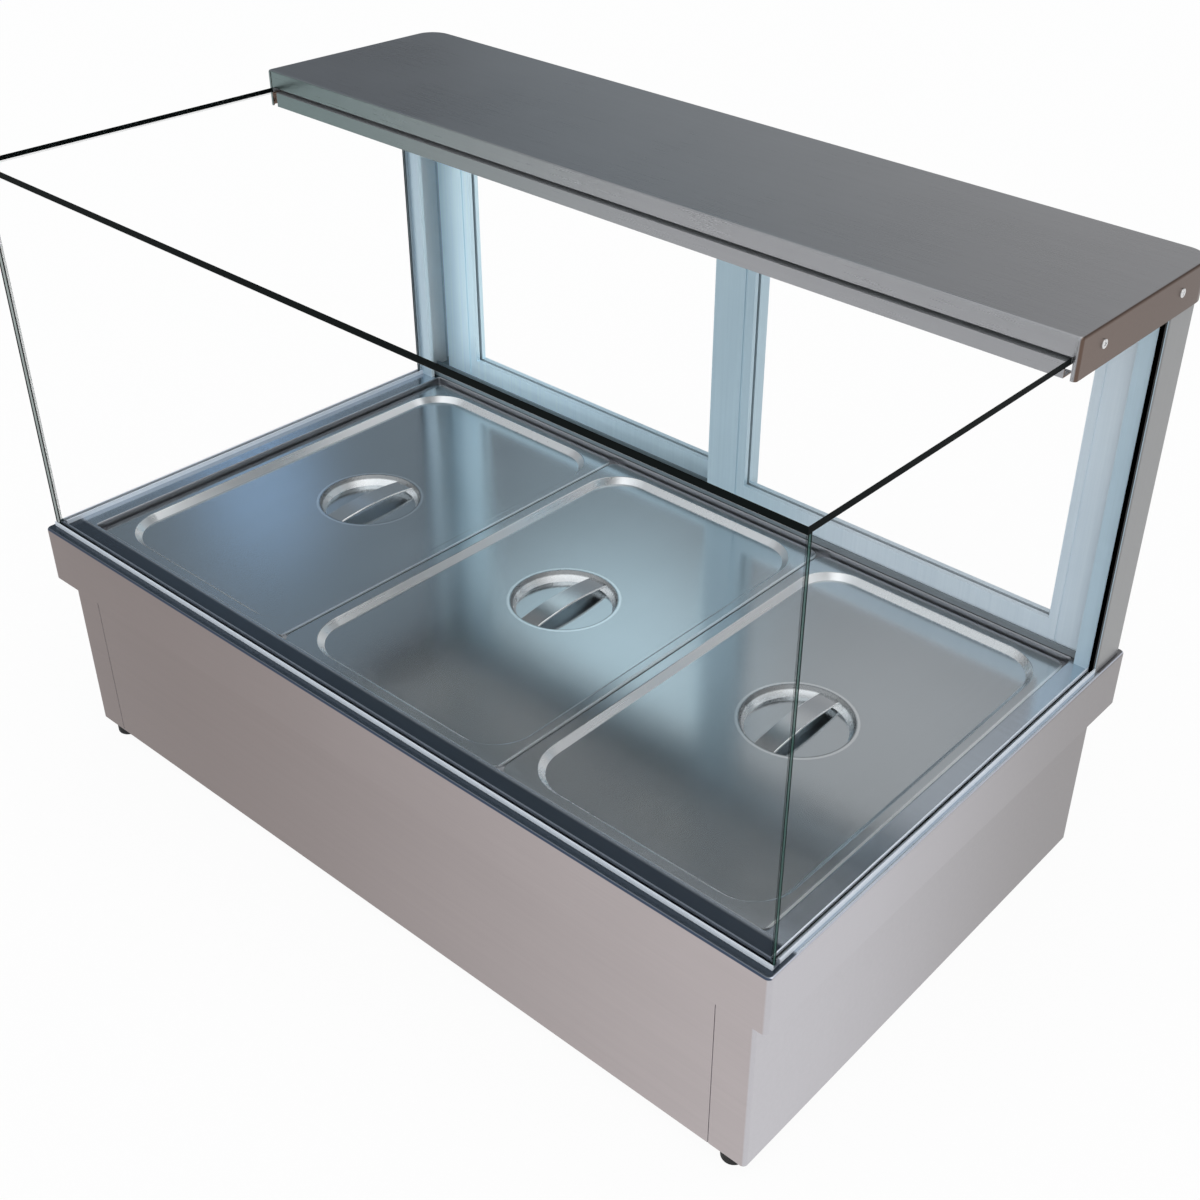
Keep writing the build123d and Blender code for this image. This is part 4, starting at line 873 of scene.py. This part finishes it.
# Studio: all the light comes from the surround, which is white at the horizon and overhead. The lids
# mirror a dim wall and its windows at the left of the rear, and two wide screens light the object
# from the front and from the upper right.
world = bpy.data.worlds.new("studio")
bpy.context.scene.world = world
world.use_nodes = True
tree = world.node_tree
source = tree.nodes.new("ShaderNodeTexCoord")
towards = Value(tree, source.outputs["Generated"])


def patch(azimuth, elevation, outer, inner):
    """1 within the inner angle of a direction, 0 beyond the outer one; azimuth runs from +Y to +X."""
    flat = cos(radians(elevation))
    middle = (flat * sin(radians(azimuth)), flat * cos(radians(azimuth)), sin(radians(elevation)))
    ends = {0: towards, 1: middle}
    along = towards.node("ShaderNodeVectorMath", {"operation": "DOT_PRODUCT"}, ends, "Value")
    return between(along, cos(radians(outer)), cos(radians(inner)))


height = part_of(towards, "Z")
surround = height.node(
    "ShaderNodeValToRGB",
    {"stops": [
        (0.00, (1.0, 1.0, 1.0)),
        (0.10, (0.78, 0.78, 0.78)),
        (0.22, (0.56, 0.56, 0.56)),
        (0.45, (0.44, 0.44, 0.45)),
        (0.66, (0.48, 0.48, 0.49)),
        (0.80, (1.00, 1.00, 1.00)),
    ]},
    {"Fac": height},
)
# Each patch of light: azimuth, elevation, outer and inner angle, colour
dim_wall = (-64.0, 30.0, 40.0, 14.0, (0.20, 0.235, 0.265))
wall_foot = (-54.0, 14.0, 10.0, 4.0, (0.13, 0.135, 0.145))
narrow_window = (-56.0, 29.2, 2.7, 1.0, (0.50, 0.75, 1.10))
bright_window = (-42.0, 37.0, 6.5, 3.0, (0.78, 0.99, 1.08))
grey_blind = (-31.0, 38.5, 7.0, 2.0, (0.54, 0.54, 0.545))
front_screen = (172.0, 32.0, 68.0, 28.0, (1.00, 1.02, 1.04))
upper_screen = (109.0, 54.0, 40.0, 24.0, (1.40, 1.40, 1.40))
lights = (dim_wall, wall_foot, narrow_window, bright_window, grey_blind, front_screen, upper_screen)
for azimuth, elevation, outer, inner, colour in lights:
    surround = mix(patch(azimuth, elevation, outer, inner), surround, colour)
tree.links.new(surround.socket, tree.nodes["Background"].inputs["Color"])

# Camera: at the photograph's height and angle, to the right of the front corner. Its shift gives the
# photograph's framing.
eye = bpy.data.cameras.new("camera")
eye.sensor_width = 36.0
eye.lens = 48.267
eye.shift_x = -0.0932
eye.shift_y = 0.0092
camera = bpy.data.objects.new("camera", eye)
spot = Vector((1.04933, -1.09119, 1.28598))
heading, tilt, roll = radians(37.776), radians(55.849), radians(2.627)
turn = Matrix.Rotation(heading, 4, "Z") @ Matrix.Rotation(tilt, 4, "X") @ Matrix.Rotation(roll, 4, "Z")
camera.matrix_world = Matrix.Translation(spot) @ turn
bpy.context.collection.objects.link(camera)
bpy.context.scene.camera = camera
bpy.context.scene.view_settings.view_transform = "Standard"
